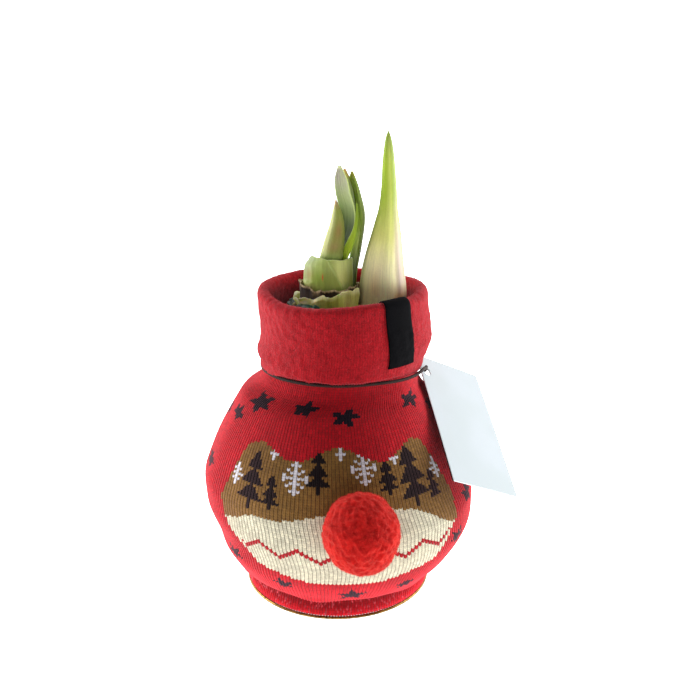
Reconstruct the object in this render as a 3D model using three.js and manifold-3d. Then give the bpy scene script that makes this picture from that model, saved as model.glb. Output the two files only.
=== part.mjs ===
// An amaryllis bulb, dipped in wax and dressed in a knitted cover, that stands on a wire ring.
// Millimetres, +Z up, the front towards -Y.
// The origin is the middle of the whole object's box, on the floor.
import * as THREE from "three";
import { mergeVertices } from "three/addons/utils/BufferGeometryUtils.js";
import Module from "manifold-3d";

const wasm = await Module();
wasm.setup();

// Clearance between neighbours, the number of sides of everything turned round the bulb's axis, and how
// close two corners of one piece are merged.
const GAP = 0.3;
const TURNED_SIDES = 36;
const MERGE_DISTANCE = 1e-4;

// The bulb's axis stands left of and behind the middle of the box, because the tag and the pompom stick out.
const AXIS = new THREE.Vector3(-7.82, 11.9, 0);

// The knitted cover: height and radius of its outside, from the foot up to the crease of the neck.
const COVER_BODY = [
  [9.6, 40.8],
  [10.6, 43.4],
  [13.5, 46.9],
  [18, 50.5],
  [24, 54.1],
  [31, 57.1],
  [38, 59.2],
  [46, 60],
  [54, 59],
  [62, 56.5],
  [70, 53.2],
  [78, 49],
  [86, 44.1],
  [93, 40],
  [99, 36.2],
  [104, 35.1],
];
// The heights whose rows its inside and the wax under it follow.
const FITTED_HEIGHTS = [24, 31, 38, 46, 54, 70, 86, 93, 99, 104];
const HEM_BOTTOM = { z: 1.9, radius: 42.1 };
const HEM_MIDDLE = { z: 5.5, radius: 41.2 };
// Its inside at the foot follows these rows, from the top down, a thickness further in.
const FOOT_INSIDE = [
  [15.5, 48.2],
  [11.2, 43.4],
  [9.4, 40.9],
];
const KNIT_THICKNESS = 1.6;
const CREASE_TOP = 107.6;
// The folded collar of the cover: its outside, its rounded top edge and its inside.
const CUFF = { bottom: 107.8, bottomRadius: 36.9, topRadius: 36.5, top: 138.8, foldRadius: 2.5 };
const CUFF_INSIDE = [
  [128, 31.4],
  [116, 32],
  [107, 33.3],
];
// The soft body sags: how far each height is pushed to the right.
const LEAN = [
  [0, -0.6],
  [16, 0],
  [32, 1.5],
  [45, 0],
  [58, -2],
  [80, -2.2],
  [95, -0.6],
  [107, 1.7],
  [120, 2.6],
  [140, 1.9],
];

// The wax round the bulb: its foot, then the cover's own shape, then its neck.
const WAX_THICKNESS = 1.2;
const WAX_FOOT = [
  [7.6, 20],
  [9.4, 29],
  [13, 37.5],
  [18, 45],
];
const WAX_NECK = [
  [110, 31.6],
  [117, 29.8],
  [124, 27.6],
  [128.5, 25],
];
// The bulb's neck is cut level at the top, with a bevelled edge.
const NECK = { top: 131.2, radius: 22.6, bevelHeight: 1.6, bevelWidth: 2.4 };
// The wax's rim there: height above the neck's top and distance outside its edge, from the outside in.
const WAX_RIM = [
  [0.3, 1.2],
  [-0.6, GAP],
  [-NECK.bevelHeight, GAP],
];

// The wire stand: a ring on the floor, with a flat under it, and a coil of the same wire. The coil leaves
// the ring at an angle in degrees, winds in over the first share of its length and rises between two shares.
const WIRE = { radius: 0.8, ring: 41.7, flat: 1, sides: 56 };
const COIL = { start: 60, turns: 2.5, stepsPerTurn: 18, inner: 9, windsOver: 0.8, top: 6.2 };
const COIL_RISE = [0.3, 0.85];

// The elastic cord round the neck. It lies in the crease between two angles, in degrees from +X.
const CORD = { radius: 0.65, ring: 36.1, height: 105.6, from: 32, to: 338, step: 9, points: 72 };

// The hang tag: a card held by its punched corner. Its edges run along these two directions.
const TAG = { width: 37.4, length: 65.8, thickness: 0.8, hole: 2.1, holeAlong: 3.7, holeDown: 8.4 };
const TAG_CORNER = new THREE.Vector3(36.1, 8.5, 104.3);
const TAG_ALONG = new THREE.Vector3(0.773, 0.449, -0.448).normalize();
const TAG_DOWN = new THREE.Vector3(0.17, -0.827, -0.536).normalize();
// Where the cord passes the tag's hole: along, down and outwards from the hole's middle on the tag's face.
const THREADING = [
  [-1.6, 1, 1.7],
  [-0.6, -0.4, 0.5],
  [0, -0.9, -0.5],
  [0.4, -2, -2],
];
// Its way behind the tag back to the crease: angle from +X, distance from the leaning axis, and height.
const BEHIND_TAG = [
  [13, 37, 100.4],
  [22, 36.6, 103.3],
];

// The woven label folded over the collar's edge: its sides as angles from the front towards the right, how
// far each slants towards its foot, and the rows that its ends reach inside and outside the collar.
const LABEL = { from: 28, to: 48.2, fromSlant: 2.1, toSlant: 3.7, thickness: 0.8, steps: 6 };
const LABEL_INSIDE = [[130, 31.45]];
const LABEL_OUTSIDE = [
  [125, 36.7],
  [111.5, 36.9],
];

// The pompom, and the heights of the cover between which it is pressed flat.
const POMPOM = { x: 9.5, y: -68.2, z: 57.3, radius: 15.6, halfHeight: 16.8, seat: [20, 100] };

// The middle of the leaf bunch on top of the bulb, and the three rings round it.
// Angles are in degrees from +X, widths in radians. Waves are rows of [height, number round the ring, phase
// in radians], and a rim is rows of [angle, height].
const BUNCH = { x: -4.3, y: -1 };
const COLLAR = { radius: 10.5, deep: 9.7, wall: 1.7, rimThinner: 0.4, top: 151.2, taper: 0.9 };
const COLLAR_BULGE = { height: 0.4, at: 205 };
const COLLAR_ROLL = { inwards: 2.6, at: 215, from: 0.75 };
const COLLAR_LAP = { height: 0.8, left: 0.25, edge: 270, slant: 62, step: 9, fades: [336, 358] };
const COLLAR_RIM = [
  [0.5, 2, 0.6],
  [-0.7, 1, 0.5],
];
const TUNIC = { x: 0.6, y: 0.2, radius: 12.9, shallower: 0.6, wall: 0.7 };
const TUNIC_BULGE = { height: 1.7, at: 42, width: 0.4 };
const TUNIC_RIM = [
  [0, 139.6],
  [20, 136.4],
  [90, 136.4],
  [150, 139.6],
  [193, 141],
  [218, 140.2],
  [245, 139.2],
  [272, 139.2],
  [291, 139.6],
  [360, 139.6],
];
const TUNIC_WAVES = [
  [0.35, 5, 1],
  [0.25, 9, 0],
];
const TUNIC_TEARS = [
  [0.4, 7, 0.4],
  [0.35, 13, 0],
];
const SCALE = { x: 0.6, radius: 14.6, flare: 1.1, wall: 1.2, rimThinner: 0.4 };
const SCALE_SPAN = { from: 38, to: 326 };
const SCALE_BULGE = { height: 2, at: 38, width: 0.5 };
const SCALE_RIM = [
  [38, 136.6],
  [120, 134.5],
  [184, 133.9],
  [219, 137],
  [249, 137.4],
  [260, 139],
  [304, 139.8],
  [326, 139.2],
];
const SCALE_WAVES = [
  [0.3, 4, 2],
  [0.3, 7, 0],
];
const SCALE_TEARS = [
  [0.3, 5, 1],
  [0.35, 11, 2],
];
// The pit in the bulb's top that the inner leaves and the short bud rise from, and how far the tools that cut
// it and the tall bud's socket reach above the neck and widen on the way.
const HEART = { wide: 8, deep: 7.1, floor: 127 };
const SOCKET = { above: 5, widens: 2.5 * GAP, deepens: 2 * GAP };

function degrees(angle) {
  return (angle * Math.PI) / 180;
}

function inDegrees(radians) {
  return (radians * 180) / Math.PI;
}

// A smooth step from 0 to 1 between two values.
function ease(from, to, value) {
  return THREE.MathUtils.smoothstep(value, from, to);
}

// The value that a table of [height, value] gives at a height, eased between its rows.
function fromTable(table, height) {
  const last = table.length - 1;
  if (height <= table[0][0]) return table[0][1];
  if (height >= table[last][0]) return table[last][1];
  const row = table.findIndex(([z]) => z > height);
  const [z0, v0] = table[row - 1];
  const [z1, v1] = table[row];
  return v0 + (v1 - v0) * ease(z0, z1, height);
}

// A closed geometry with merged vertices, whose faces point out.
function closed(geometry) {
  geometry.deleteAttribute("normal");
  geometry.deleteAttribute("uv");
  const merged = mergeVertices(geometry, MERGE_DISTANCE);
  const position = merged.attributes.position;
  const index = merged.index.array;
  const [a, b, c] = [new THREE.Vector3(), new THREE.Vector3(), new THREE.Vector3()];
  let volume = 0;
  for (let i = 0; i < index.length; i += 3) {
    a.fromBufferAttribute(position, index[i]);
    b.fromBufferAttribute(position, index[i + 1]);
    c.fromBufferAttribute(position, index[i + 2]);
    volume += a.dot(b.cross(c));
  }
  if (volume < 0) index.reverse();
  return merged;
}

function toManifold(geometry) {
  const { position } = geometry.attributes;
  const triVerts = new Uint32Array(geometry.index.array);
  return new wasm.Manifold(new wasm.Mesh({ numProp: 3, vertProperties: position.array, triVerts }));
}

function fromManifold(solid) {
  const mesh = solid.getMesh();
  return new THREE.BufferGeometry()
    .setAttribute("position", new THREE.BufferAttribute(mesh.vertProperties, 3))
    .setIndex(new THREE.BufferAttribute(mesh.triVerts, 1));
}

// A closed skin over a row of outlines, each with the same even number of points. An outline runs out
// along one side and back along the other, and both sides are split into triangles alike.
function skin(outlines, wraps = false) {
  const sides = outlines[0].length;
  const rows = wraps ? outlines.length : outlines.length - 1;
  const faces = [];
  for (let row = 0; row < rows; row++) {
    const here = row * sides;
    const next = ((row + 1) % outlines.length) * sides;
    for (let i = 0; i < sides; i++) {
      const j = (i + 1) % sides;
      if (i < sides / 2) faces.push(here + i, here + j, next + j, here + i, next + j, next + i);
      else faces.push(here + i, here + j, next + i, here + j, next + j, next + i);
    }
  }
  if (!wraps) {
    const end = rows * sides;
    for (let i = 0; i < sides / 2 - 1; i++) {
      const [a, b, c, d] = [i, i + 1, sides - 2 - i, sides - 1 - i];
      faces.push(a, c, b, a, d, c);
      faces.push(end + a, end + b, end + c, end + a, end + c, end + d);
    }
  }
  const points = outlines.flat().flatMap((point) => point.toArray());
  const geometry = new THREE.BufferGeometry()
    .setAttribute("position", new THREE.Float32BufferAttribute(points, 3))
    .setIndex(faces);
  return closed(geometry);
}

// A profile of [height, radius] rows turned round the bulb's axis and pushed over by its lean.
function turned(profile) {
  const points = profile.map(([z, radius]) => new THREE.Vector2(radius, z));
  const geometry = new THREE.LatheGeometry(points, TURNED_SIDES).rotateX(Math.PI / 2);
  const position = geometry.attributes.position;
  for (let i = 0; i < position.count; i++) {
    position.setX(i, position.getX(i) + fromTable(LEAN, position.getZ(i)));
  }
  return closed(geometry);
}

function inwards(profile, distance) {
  return profile.map(([z, radius]) => [z, radius - distance]);
}

function fittedRows() {
  return COVER_BODY.filter(([z]) => FITTED_HEIGHTS.includes(z));
}

// A round arc of [height, radius] rows round a centre, from one angle to another above the outward level.
function arcRows(height, radius, size, from, to, steps) {
  return Array.from({ length: steps + 1 }, (_, i) => {
    const angle = degrees(from + ((to - from) * i) / steps);
    return [height + size * Math.sin(angle), radius + size * Math.cos(angle)];
  });
}

function cuffFold(size) {
  return arcRows(CUFF.top - CUFF.foldRadius, CUFF.topRadius - CUFF.foldRadius, size, 0, 180, 6);
}

function knitCover() {
  const outside = [
    [HEM_BOTTOM.z, HEM_BOTTOM.radius],
    [HEM_MIDDLE.z, HEM_MIDDLE.radius],
    ...COVER_BODY,
    [CREASE_TOP, COVER_BODY.at(-1)[1]],
    [CUFF.bottom, CUFF.bottomRadius],
    [(CUFF.bottom + CUFF.top) / 2, (CUFF.bottomRadius + CUFF.topRadius) / 2],
  ];
  const hem = [
    [HEM_MIDDLE.z, HEM_MIDDLE.radius],
    [HEM_BOTTOM.z, HEM_BOTTOM.radius],
  ];
  const inside = inwards([...fittedRows().reverse(), ...FOOT_INSIDE, ...hem], KNIT_THICKNESS);
  const profile = [...outside, ...cuffFold(CUFF.foldRadius), ...CUFF_INSIDE, ...inside];
  return turned([...profile, profile[0]]);
}

// The outside of the wax, which fills the cover from above its foot to the neck.
function waxOutside() {
  return [...WAX_FOOT, ...inwards(fittedRows(), KNIT_THICKNESS + GAP), ...WAX_NECK];
}

function waxCoat(socket) {
  const outside = waxOutside();
  const [footZ, footRadius] = outside[0];
  const inside = inwards(outside.slice(1), WAX_THICKNESS).reverse();
  const rim = WAX_RIM.map(([above, outwards]) => [NECK.top + above, NECK.radius + outwards]);
  const coat = turned([
    [footZ, 0],
    ...outside,
    ...rim,
    ...inside,
    [footZ + WAX_THICKNESS, footRadius],
    [footZ + WAX_THICKNESS, 0],
  ]);
  return fromManifold(toManifold(coat).subtract(toManifold(socket)));
}

function bulb(sockets) {
  const outside = waxOutside();
  const inset = WAX_THICKNESS + GAP;
  const [footZ, footRadius] = outside[0];
  const body = turned([
    [footZ + inset, 0],
    [footZ + inset, footRadius - GAP],
    ...inwards(outside.slice(1), inset),
    [NECK.top - NECK.bevelHeight, NECK.radius],
    [NECK.top, NECK.radius - NECK.bevelWidth],
    [NECK.top, 0],
  ]);
  let solid = toManifold(body);
  for (const socket of sockets) solid = solid.subtract(toManifold(socket));
  return fromManifold(solid);
}

// One outline of a bud: an ellipse in the level plane.
function levelEllipse({ x, y, z, wide, deep }, sides) {
  return Array.from({ length: sides }, (_, i) => {
    const angle = ((i + 0.5) * 2 * Math.PI) / sides;
    return new THREE.Vector3(x + wide * Math.cos(angle), y + deep * Math.sin(angle), z);
  });
}

function bud(stations, sides) {
  return skin(stations.map((station) => levelEllipse(station, sides)));
}

// A socket sunk in the bulb, wider than what stands in it by the clearance all round.
function socketFor({ x, y, z, wide, deep }, sides) {
  const floor = { x, y, z: z - GAP, wide: wide + GAP, deep: deep + GAP };
  const mouth = { x, y, z: NECK.top + SOCKET.above, wide: wide + SOCKET.widens, deep: deep + SOCKET.deepens };
  return bud([floor, mouth], sides);
}

const TALL_BUD = [
  { x: 18.8, y: -2, z: 125, wide: 9.6, deep: 7.4 },
  { x: 18.9, y: -2, z: 131, wide: 9.8, deep: 7.6 },
  { x: 19.1, y: -2, z: 138, wide: 9.5, deep: 7.4 },
  { x: 19.1, y: -1.8, z: 146.5, wide: 8.5, deep: 6.9 },
  { x: 19.6, y: -1.5, z: 154, wide: 7.3, deep: 6.2 },
  { x: 20.3, y: -1.2, z: 160, wide: 6.1, deep: 5.4 },
  { x: 20.9, y: -1, z: 166.5, wide: 4.6, deep: 4.4 },
  { x: 21.2, y: -0.9, z: 172, wide: 3.6, deep: 3.6 },
  { x: 21.2, y: -0.8, z: 180, wide: 3, deep: 3 },
  { x: 21, y: -0.8, z: 190, wide: 2.4, deep: 2.3 },
  { x: 20.9, y: -0.7, z: 197, wide: 1.6, deep: 1.5 },
  { x: 20.8, y: -0.7, z: 203.4, wide: 0.3, deep: 0.3 },
];

const SHORT_BUD = [
  { x: -4.9, y: -3.8, z: 127.3, wide: 4.6, deep: 3 },
  { x: -4.4, y: -3.8, z: 138, wide: 4.9, deep: 3.2 },
  { x: -2.7, y: -3.9, z: 150, wide: 4.2, deep: 3.1 },
  { x: -1.3, y: -3.5, z: 158.8, wide: 3.8, deep: 2.9 },
  { x: -0.4, y: -3.2, z: 165.6, wide: 2.9, deep: 2.4 },
  { x: -0.3, y: -3, z: 170.8, wide: 1.8, deep: 1.6 },
  { x: -0.8, y: -3, z: 175.8, wide: 0.3, deep: 0.3 },
];

// A strap leaf bent round its middle line. Each station has the middle of the blade, half its width,
// the level direction that its hollow side faces, in degrees from +X, and half the angle it is bent by.
const LEAVES = {
  leaf_pale: {
    colour: 0xb9c7a6,
    stations: [
      { x: -2.6, y: 2.2, z: 127.3, half: 3.4, facing: 246, bend: 24 },
      { x: -1.6, y: 2.8, z: 140, half: 4, facing: 240, bend: 28 },
      { x: 0.4, y: 2.3, z: 152, half: 4.1, facing: 230, bend: 32 },
      { x: 4.5, y: 2.5, z: 162, half: 5, facing: 222, bend: 30 },
      { x: 5, y: 1.7, z: 170, half: 4.7, facing: 226, bend: 30 },
      { x: 2.9, y: 1, z: 178, half: 3.6, facing: 236, bend: 30 },
      { x: 1.5, y: 0.6, z: 184, half: 2.4, facing: 242, bend: 26 },
      { x: 0.5, y: 0.4, z: 189, half: 0.5, facing: 244, bend: 20 },
    ],
  },
  leaf_middle: {
    colour: 0x6f8a3c,
    stations: [
      { x: 0.9, y: 3, z: 127.3, half: 1.8, facing: 226, bend: 18 },
      { x: 1.2, y: 3.4, z: 142, half: 1.9, facing: 224, bend: 20 },
      { x: 1.9, y: 3.8, z: 152, half: 2.2, facing: 222, bend: 22 },
      { x: 5.1, y: 5.6, z: 161, half: 3.1, facing: 216, bend: 26 },
      { x: 7.2, y: 5.4, z: 169, half: 3.2, facing: 212, bend: 26 },
      { x: 6.1, y: 4, z: 178, half: 2.6, facing: 214, bend: 24 },
      { x: 3.4, y: 3, z: 187.2, half: 0.5, facing: 215, bend: 20 },
    ],
  },
  leaf_dark: {
    colour: 0x56713a,
    stations: [
      { x: 6.1, y: 6.2, z: 131.5, half: 2.8, facing: 210, bend: 24 },
      { x: 7.5, y: 6.2, z: 143, half: 3.6, facing: 202, bend: 40 },
      { x: 10, y: 5, z: 156, half: 4.2, facing: 193, bend: 56 },
      { x: 10.9, y: 3.6, z: 168, half: 4.1, facing: 191, bend: 58 },
      { x: 9, y: 2.8, z: 178, half: 3.4, facing: 198, bend: 50 },
      { x: 6.2, y: 2.6, z: 186.2, half: 0.5, facing: 205, bend: 30 },
    ],
  },
  leaf_bright: {
    colour: 0x93bb45,
    stations: [
      { x: 1, y: -1.6, z: 127.3, half: 1.5, facing: 222, bend: 16 },
      { x: 1.9, y: -2.1, z: 142, half: 1.3, facing: 236, bend: 18 },
      { x: 2.5, y: -2.6, z: 150, half: 1.3, facing: 236, bend: 20 },
      { x: 5.6, y: -3.8, z: 157, half: 1.6, facing: 228, bend: 22 },
      { x: 8, y: -4, z: 163.5, half: 1, facing: 222, bend: 20 },
      { x: 8.8, y: -3.2, z: 169.5, half: 0.7, facing: 220, bend: 20 },
      { x: 8.9, y: -2.4, z: 174, half: 0.3, facing: 220, bend: 20 },
    ],
  },
};
const LEAF_THICKNESS = 1.1;
const LEAF_EDGE = 0.65;

function blade(stations, rows = 14, across = 5) {
  const middle = new THREE.CatmullRomCurve3(stations.map(({ x, y, z }) => new THREE.Vector3(x, y, z)));
  const shape = new THREE.CatmullRomCurve3(
    stations.map(({ half, facing, bend }) => new THREE.Vector3(half, facing, bend)),
  );
  const outlines = [];
  for (let row = 0; row <= rows; row++) {
    const centre = middle.getPoint(row / rows);
    const { x: half, y: facing, z: bend } = shape.getPoint(row / rows);
    const hollow = new THREE.Vector3(Math.cos(degrees(facing)), Math.sin(degrees(facing)), 0);
    const sideways = new THREE.Vector3(-hollow.y, hollow.x, 0);
    const bendRadius = half / Math.sin(degrees(bend));
    const [back, front] = [[], []];
    for (let step = 0; step <= across; step++) {
      const place = (2 * step) / across - 1;
      const angle = place * degrees(bend);
      const normal = hollow
        .clone()
        .multiplyScalar(Math.cos(angle))
        .addScaledVector(sideways, -Math.sin(angle));
      const halfThick = THREE.MathUtils.lerp(LEAF_THICKNESS, LEAF_EDGE, place * place) / 2;
      const point = centre
        .clone()
        .addScaledVector(sideways, bendRadius * Math.sin(angle))
        .addScaledVector(hollow, bendRadius * (1 - Math.cos(angle)));
      back.push(point.clone().addScaledVector(normal, -halfThick));
      front.unshift(point.addScaledVector(normal, halfThick));
    }
    outlines.push([...back, ...front]);
  }
  return skin(outlines);
}

// The sum of waves at an angle in radians.
function wavy(waves, angle) {
  return waves.reduce((sum, [height, count, phase]) => sum + height * Math.sin(count * angle + phase), 0);
}

// A soft hump of height 1 round an angle, which is in degrees. Its width is in radians.
function hump(angle, at, width) {
  return Math.exp(-(((angle - degrees(at)) / width) ** 2));
}

// How far an angle faces one in degrees: 1 there, 0 from a quarter turn away.
function towards(angle, at) {
  return Math.max(0, Math.cos(angle - degrees(at)));
}

// How far right something beside the tall bud may reach at a depth and still clear its foot.
function besideTallBud(x, y, clearance) {
  const { x: budX, y: budY, wide, deep } = TALL_BUD[1];
  const across = (y - budY) / (deep + clearance);
  if (Math.abs(across) >= 1) return x;
  return Math.min(x, budX - (wide + clearance) * Math.sqrt(1 - across * across));
}

// A standing band round the bunch, from one angle to another in degrees from +X. Its outside, its wall and
// its rim follow the angle in radians and the share of the height. A whole turn closes on itself.
function band({ from = 0, to = 360, sides, rows, outsideAt, wallAt, topAt }) {
  const whole = to - from === 360;
  const outlines = [];
  for (let side = 0; side < sides; side++) {
    const angle = degrees(from + ((to - from) * side) / (whole ? sides : sides - 1));
    const [outside, inside] = [[], []];
    for (let row = 0; row <= rows; row++) {
      const up = row / rows;
      const z = THREE.MathUtils.lerp(NECK.top + GAP, topAt(angle), up);
      const { x, y } = outsideAt(angle, up);
      const wall = wallAt(up);
      outside.push(new THREE.Vector3(x, y, z));
      inside.unshift(new THREE.Vector3(x - wall * Math.cos(angle), y - wall * Math.sin(angle), z));
    }
    outlines.push([...outside, ...inside]);
  }
  return skin(outlines, whole);
}

// The cut leaf bases. One laps over the other along a slanting edge at the front.
function neckCollar() {
  const outsideAt = (angle, up) => {
    const edge = COLLAR_LAP.edge + COLLAR_LAP.slant * (1 - up);
    const begun = ease(degrees(edge), degrees(edge + COLLAR_LAP.step), angle);
    const lapped = begun * (1 - ease(...COLLAR_LAP.fades.map(degrees), angle));
    const bulge = COLLAR_BULGE.height * Math.sin(Math.PI * up) * towards(angle, COLLAR_BULGE.at);
    const rolled = COLLAR_ROLL.inwards * ease(COLLAR_ROLL.from, 1, up) * towards(angle, COLLAR_ROLL.at);
    const taper = COLLAR.taper * up * up * towards(angle, 180);
    const out = COLLAR_LAP.height * (COLLAR_LAP.left - lapped) + bulge - rolled - taper;
    return {
      x: BUNCH.x + (COLLAR.radius + out) * Math.cos(angle),
      y: BUNCH.y + (COLLAR.deep + out) * Math.sin(angle),
    };
  };
  return band({
    sides: 40,
    rows: 4,
    outsideAt,
    wallAt: (up) => COLLAR.wall - COLLAR.rimThinner * up,
    topAt: (angle) => COLLAR.top + wavy(COLLAR_RIM, angle),
  });
}

function dryTunic() {
  const outsideAt = (angle, up) => {
    const bulge = TUNIC_BULGE.height * hump(angle, TUNIC_BULGE.at, TUNIC_BULGE.width);
    const out = TUNIC.radius + bulge + wavy(TUNIC_WAVES, angle) * up;
    const y = BUNCH.y + TUNIC.y + (out - TUNIC.shallower) * Math.sin(angle);
    return { x: besideTallBud(BUNCH.x + TUNIC.x + out * Math.cos(angle), y, 2 * GAP), y };
  };
  return band({
    sides: 48,
    rows: 2,
    outsideAt,
    wallAt: () => TUNIC.wall,
    topAt: (angle) => fromTable(TUNIC_RIM, inDegrees(angle)) + wavy(TUNIC_TEARS, angle),
  });
}

function outerScale() {
  const outsideAt = (angle, up) => {
    const bulge = SCALE_BULGE.height * hump(angle, SCALE_BULGE.at, SCALE_BULGE.width);
    const out = SCALE.radius + bulge + (SCALE.flare + wavy(SCALE_WAVES, angle)) * up;
    return { x: BUNCH.x + SCALE.x + out * Math.cos(angle), y: BUNCH.y + out * Math.sin(angle) };
  };
  return band({
    ...SCALE_SPAN,
    sides: 38,
    rows: 3,
    outsideAt,
    wallAt: (up) => SCALE.wall - SCALE.rimThinner * up,
    topAt: (angle) => fromTable(SCALE_RIM, inDegrees(angle)) + wavy(SCALE_TEARS, angle),
  });
}

// The outlines of a round section carried along points, each with its own direction of travel.
function tubeOutlines(points, tangents, section) {
  const up = new THREE.Vector3(0, 0, 1);
  return points.map((point, i) => {
    const across = new THREE.Vector3().crossVectors(tangents[i], up).normalize();
    const over = new THREE.Vector3().crossVectors(across, tangents[i]).normalize();
    return section.map(([a, b]) => point.clone().addScaledVector(across, a).addScaledVector(over, b));
  });
}

function roundSection(radius, sides) {
  return Array.from({ length: sides }, (_, i) => {
    const angle = ((i + 0.5) * 2 * Math.PI) / sides;
    return [radius * Math.cos(angle), radius * Math.sin(angle)];
  });
}

// The ring's section: a round with a flat under it.
function ringSection(centreHeight) {
  const flatAngle = Math.asin(centreHeight / WIRE.radius);
  return Array.from({ length: 8 }, (_, i) => {
    const angle = -flatAngle + (i * (2 * flatAngle + Math.PI)) / 7;
    return [WIRE.radius * Math.cos(angle), WIRE.radius * Math.sin(angle)];
  });
}

function wireStand() {
  const centreHeight = Math.sqrt(WIRE.radius ** 2 - (WIRE.flat / 2) ** 2);
  const ring = Array.from({ length: WIRE.sides }, (_, i) => (i * 2 * Math.PI) / WIRE.sides);
  const ringPoints = ring.map(
    (angle) => new THREE.Vector3(WIRE.ring * Math.cos(angle), WIRE.ring * Math.sin(angle), centreHeight),
  );
  const ringTangents = ring.map((angle) => new THREE.Vector3(-Math.sin(angle), Math.cos(angle), 0));
  const outer = skin(tubeOutlines(ringPoints, ringTangents, ringSection(centreHeight)), true);

  const steps = Math.round(COIL.turns * COIL.stepsPerTurn);
  const coilPoints = Array.from({ length: steps + 1 }, (_, i) => {
    const along = i / steps;
    const angle = degrees(COIL.start) + along * COIL.turns * 2 * Math.PI;
    const radius = THREE.MathUtils.lerp(WIRE.ring, COIL.inner, Math.min(1, along / COIL.windsOver));
    const z = THREE.MathUtils.lerp(WIRE.radius, COIL.top, ease(...COIL_RISE, along));
    return new THREE.Vector3(radius * Math.cos(angle), radius * Math.sin(angle), z);
  });
  const coilCurve = new THREE.CatmullRomCurve3(coilPoints);
  const coilTangents = coilPoints.map((_, i) => coilCurve.getTangent(i / steps));
  const coil = skin(tubeOutlines(coilPoints, coilTangents, roundSection(WIRE.radius, 6)));
  return fromManifold(toManifold(outer).add(toManifold(coil)));
}

function tagPoint(along, down, off = 0) {
  const outwards = new THREE.Vector3().crossVectors(TAG_DOWN, TAG_ALONG).normalize();
  return TAG_CORNER.clone()
    .addScaledVector(TAG_ALONG, along)
    .addScaledVector(TAG_DOWN, down)
    .addScaledVector(outwards, off);
}

function hangTag() {
  const card = new THREE.Shape();
  card.moveTo(0, 0).lineTo(TAG.width, 0).lineTo(TAG.width, TAG.length).lineTo(0, TAG.length).closePath();
  const hole = new THREE.Path().absarc(TAG.holeAlong, TAG.holeDown, TAG.hole, 0, 2 * Math.PI, true);
  card.holes.push(hole);
  const geometry = new THREE.ExtrudeGeometry(card, {
    depth: TAG.thickness,
    bevelEnabled: false,
    curveSegments: 8,
  });
  const away = new THREE.Vector3().crossVectors(TAG_ALONG, TAG_DOWN);
  geometry.applyMatrix4(new THREE.Matrix4().makeBasis(TAG_ALONG, TAG_DOWN, away).setPosition(TAG_CORNER));
  return closed(geometry);
}

// The cord lies in the crease all round but at the right, where it leaves it to pass through the tag.
function neckCord() {
  const lean = fromTable(LEAN, CORD.height);
  const inCrease = [];
  for (let angle = CORD.from; angle <= CORD.to; angle += CORD.step) {
    const x = lean + CORD.ring * Math.cos(degrees(angle));
    inCrease.push(new THREE.Vector3(x, CORD.ring * Math.sin(degrees(angle)), CORD.height));
  }
  const { holeAlong, holeDown } = TAG;
  const throughTag = THREADING.map(([along, down, off]) => tagPoint(holeAlong + along, holeDown + down, off));
  const behind = BEHIND_TAG.map(([angle, radius, z]) => {
    const x = fromTable(LEAN, z) + radius * Math.cos(degrees(angle));
    return new THREE.Vector3(x, radius * Math.sin(degrees(angle)), z);
  });
  const route = new THREE.CatmullRomCurve3([...inCrease, ...throughTag, ...behind], true, "centripetal");
  const places = Array.from({ length: CORD.points }, (_, i) => i / CORD.points);
  const points = places.map((place) => route.getPointAt(place));
  const tangents = places.map((place) => route.getTangentAt(place));
  return skin(tubeOutlines(points, tangents, roundSection(CORD.radius, 6)), true);
}

// The label's ribbon runs down inside the collar, over its rounded edge and down its outside.
function wovenLabel() {
  const ribbon = (lift) => [
    ...inwards(LABEL_INSIDE, lift),
    ...cuffFold(CUFF.foldRadius + lift).reverse(),
    ...inwards(LABEL_OUTSIDE, -lift),
  ];
  const foot = LABEL_OUTSIDE.at(-1)[0];
  const lifted = ribbon(GAP + LABEL.thickness);
  const resting = ribbon(GAP).reverse();
  const outlines = Array.from({ length: LABEL.steps + 1 }, (_, step) =>
    [...lifted, ...resting].map(([z, radius]) => {
      const low = 1 - ease(foot, CUFF.top, z);
      const from = LABEL.from + LABEL.fromSlant * low;
      const angle = degrees(THREE.MathUtils.lerp(from, LABEL.to + LABEL.toSlant * low, step / LABEL.steps));
      const lean = fromTable(LEAN, z);
      return new THREE.Vector3(lean + radius * Math.sin(angle), -radius * Math.cos(angle), z);
    }),
  );
  return skin(outlines);
}

// The pompom is a ball, pressed flat where it is sewn to the cover.
function pompom() {
  const ball = new THREE.SphereGeometry(1, 24, 14)
    .rotateX(Math.PI / 2)
    .scale(POMPOM.radius, POMPOM.radius, POMPOM.halfHeight)
    .translate(POMPOM.x, POMPOM.y, POMPOM.z);
  const [lowest, highest] = POMPOM.seat;
  const rows = COVER_BODY.filter(([z]) => z > lowest && z < highest);
  const keepOff = turned([
    [rows[0][0], 0],
    ...rows.map(([z, radius]) => [z, radius + GAP]),
    [rows.at(-1)[0], 0],
  ]);
  return fromManifold(toManifold(closed(ball)).subtract(toManifold(keepOff)));
}

const amaryllis = new THREE.Group();
amaryllis.name = "amaryllis_bulb";

function addPiece(name, geometry, colour, roughness, metalness = 0) {
  const material = new THREE.MeshStandardMaterial({ color: colour, roughness, metalness });
  const piece = new THREE.Mesh(geometry, material);
  piece.name = name;
  piece.position.copy(AXIS);
  amaryllis.add(piece);
}

const tallSocket = socketFor(TALL_BUD[0], 16);
const heart = socketFor({ ...BUNCH, z: HEART.floor + GAP, wide: HEART.wide, deep: HEART.deep }, 20);

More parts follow.
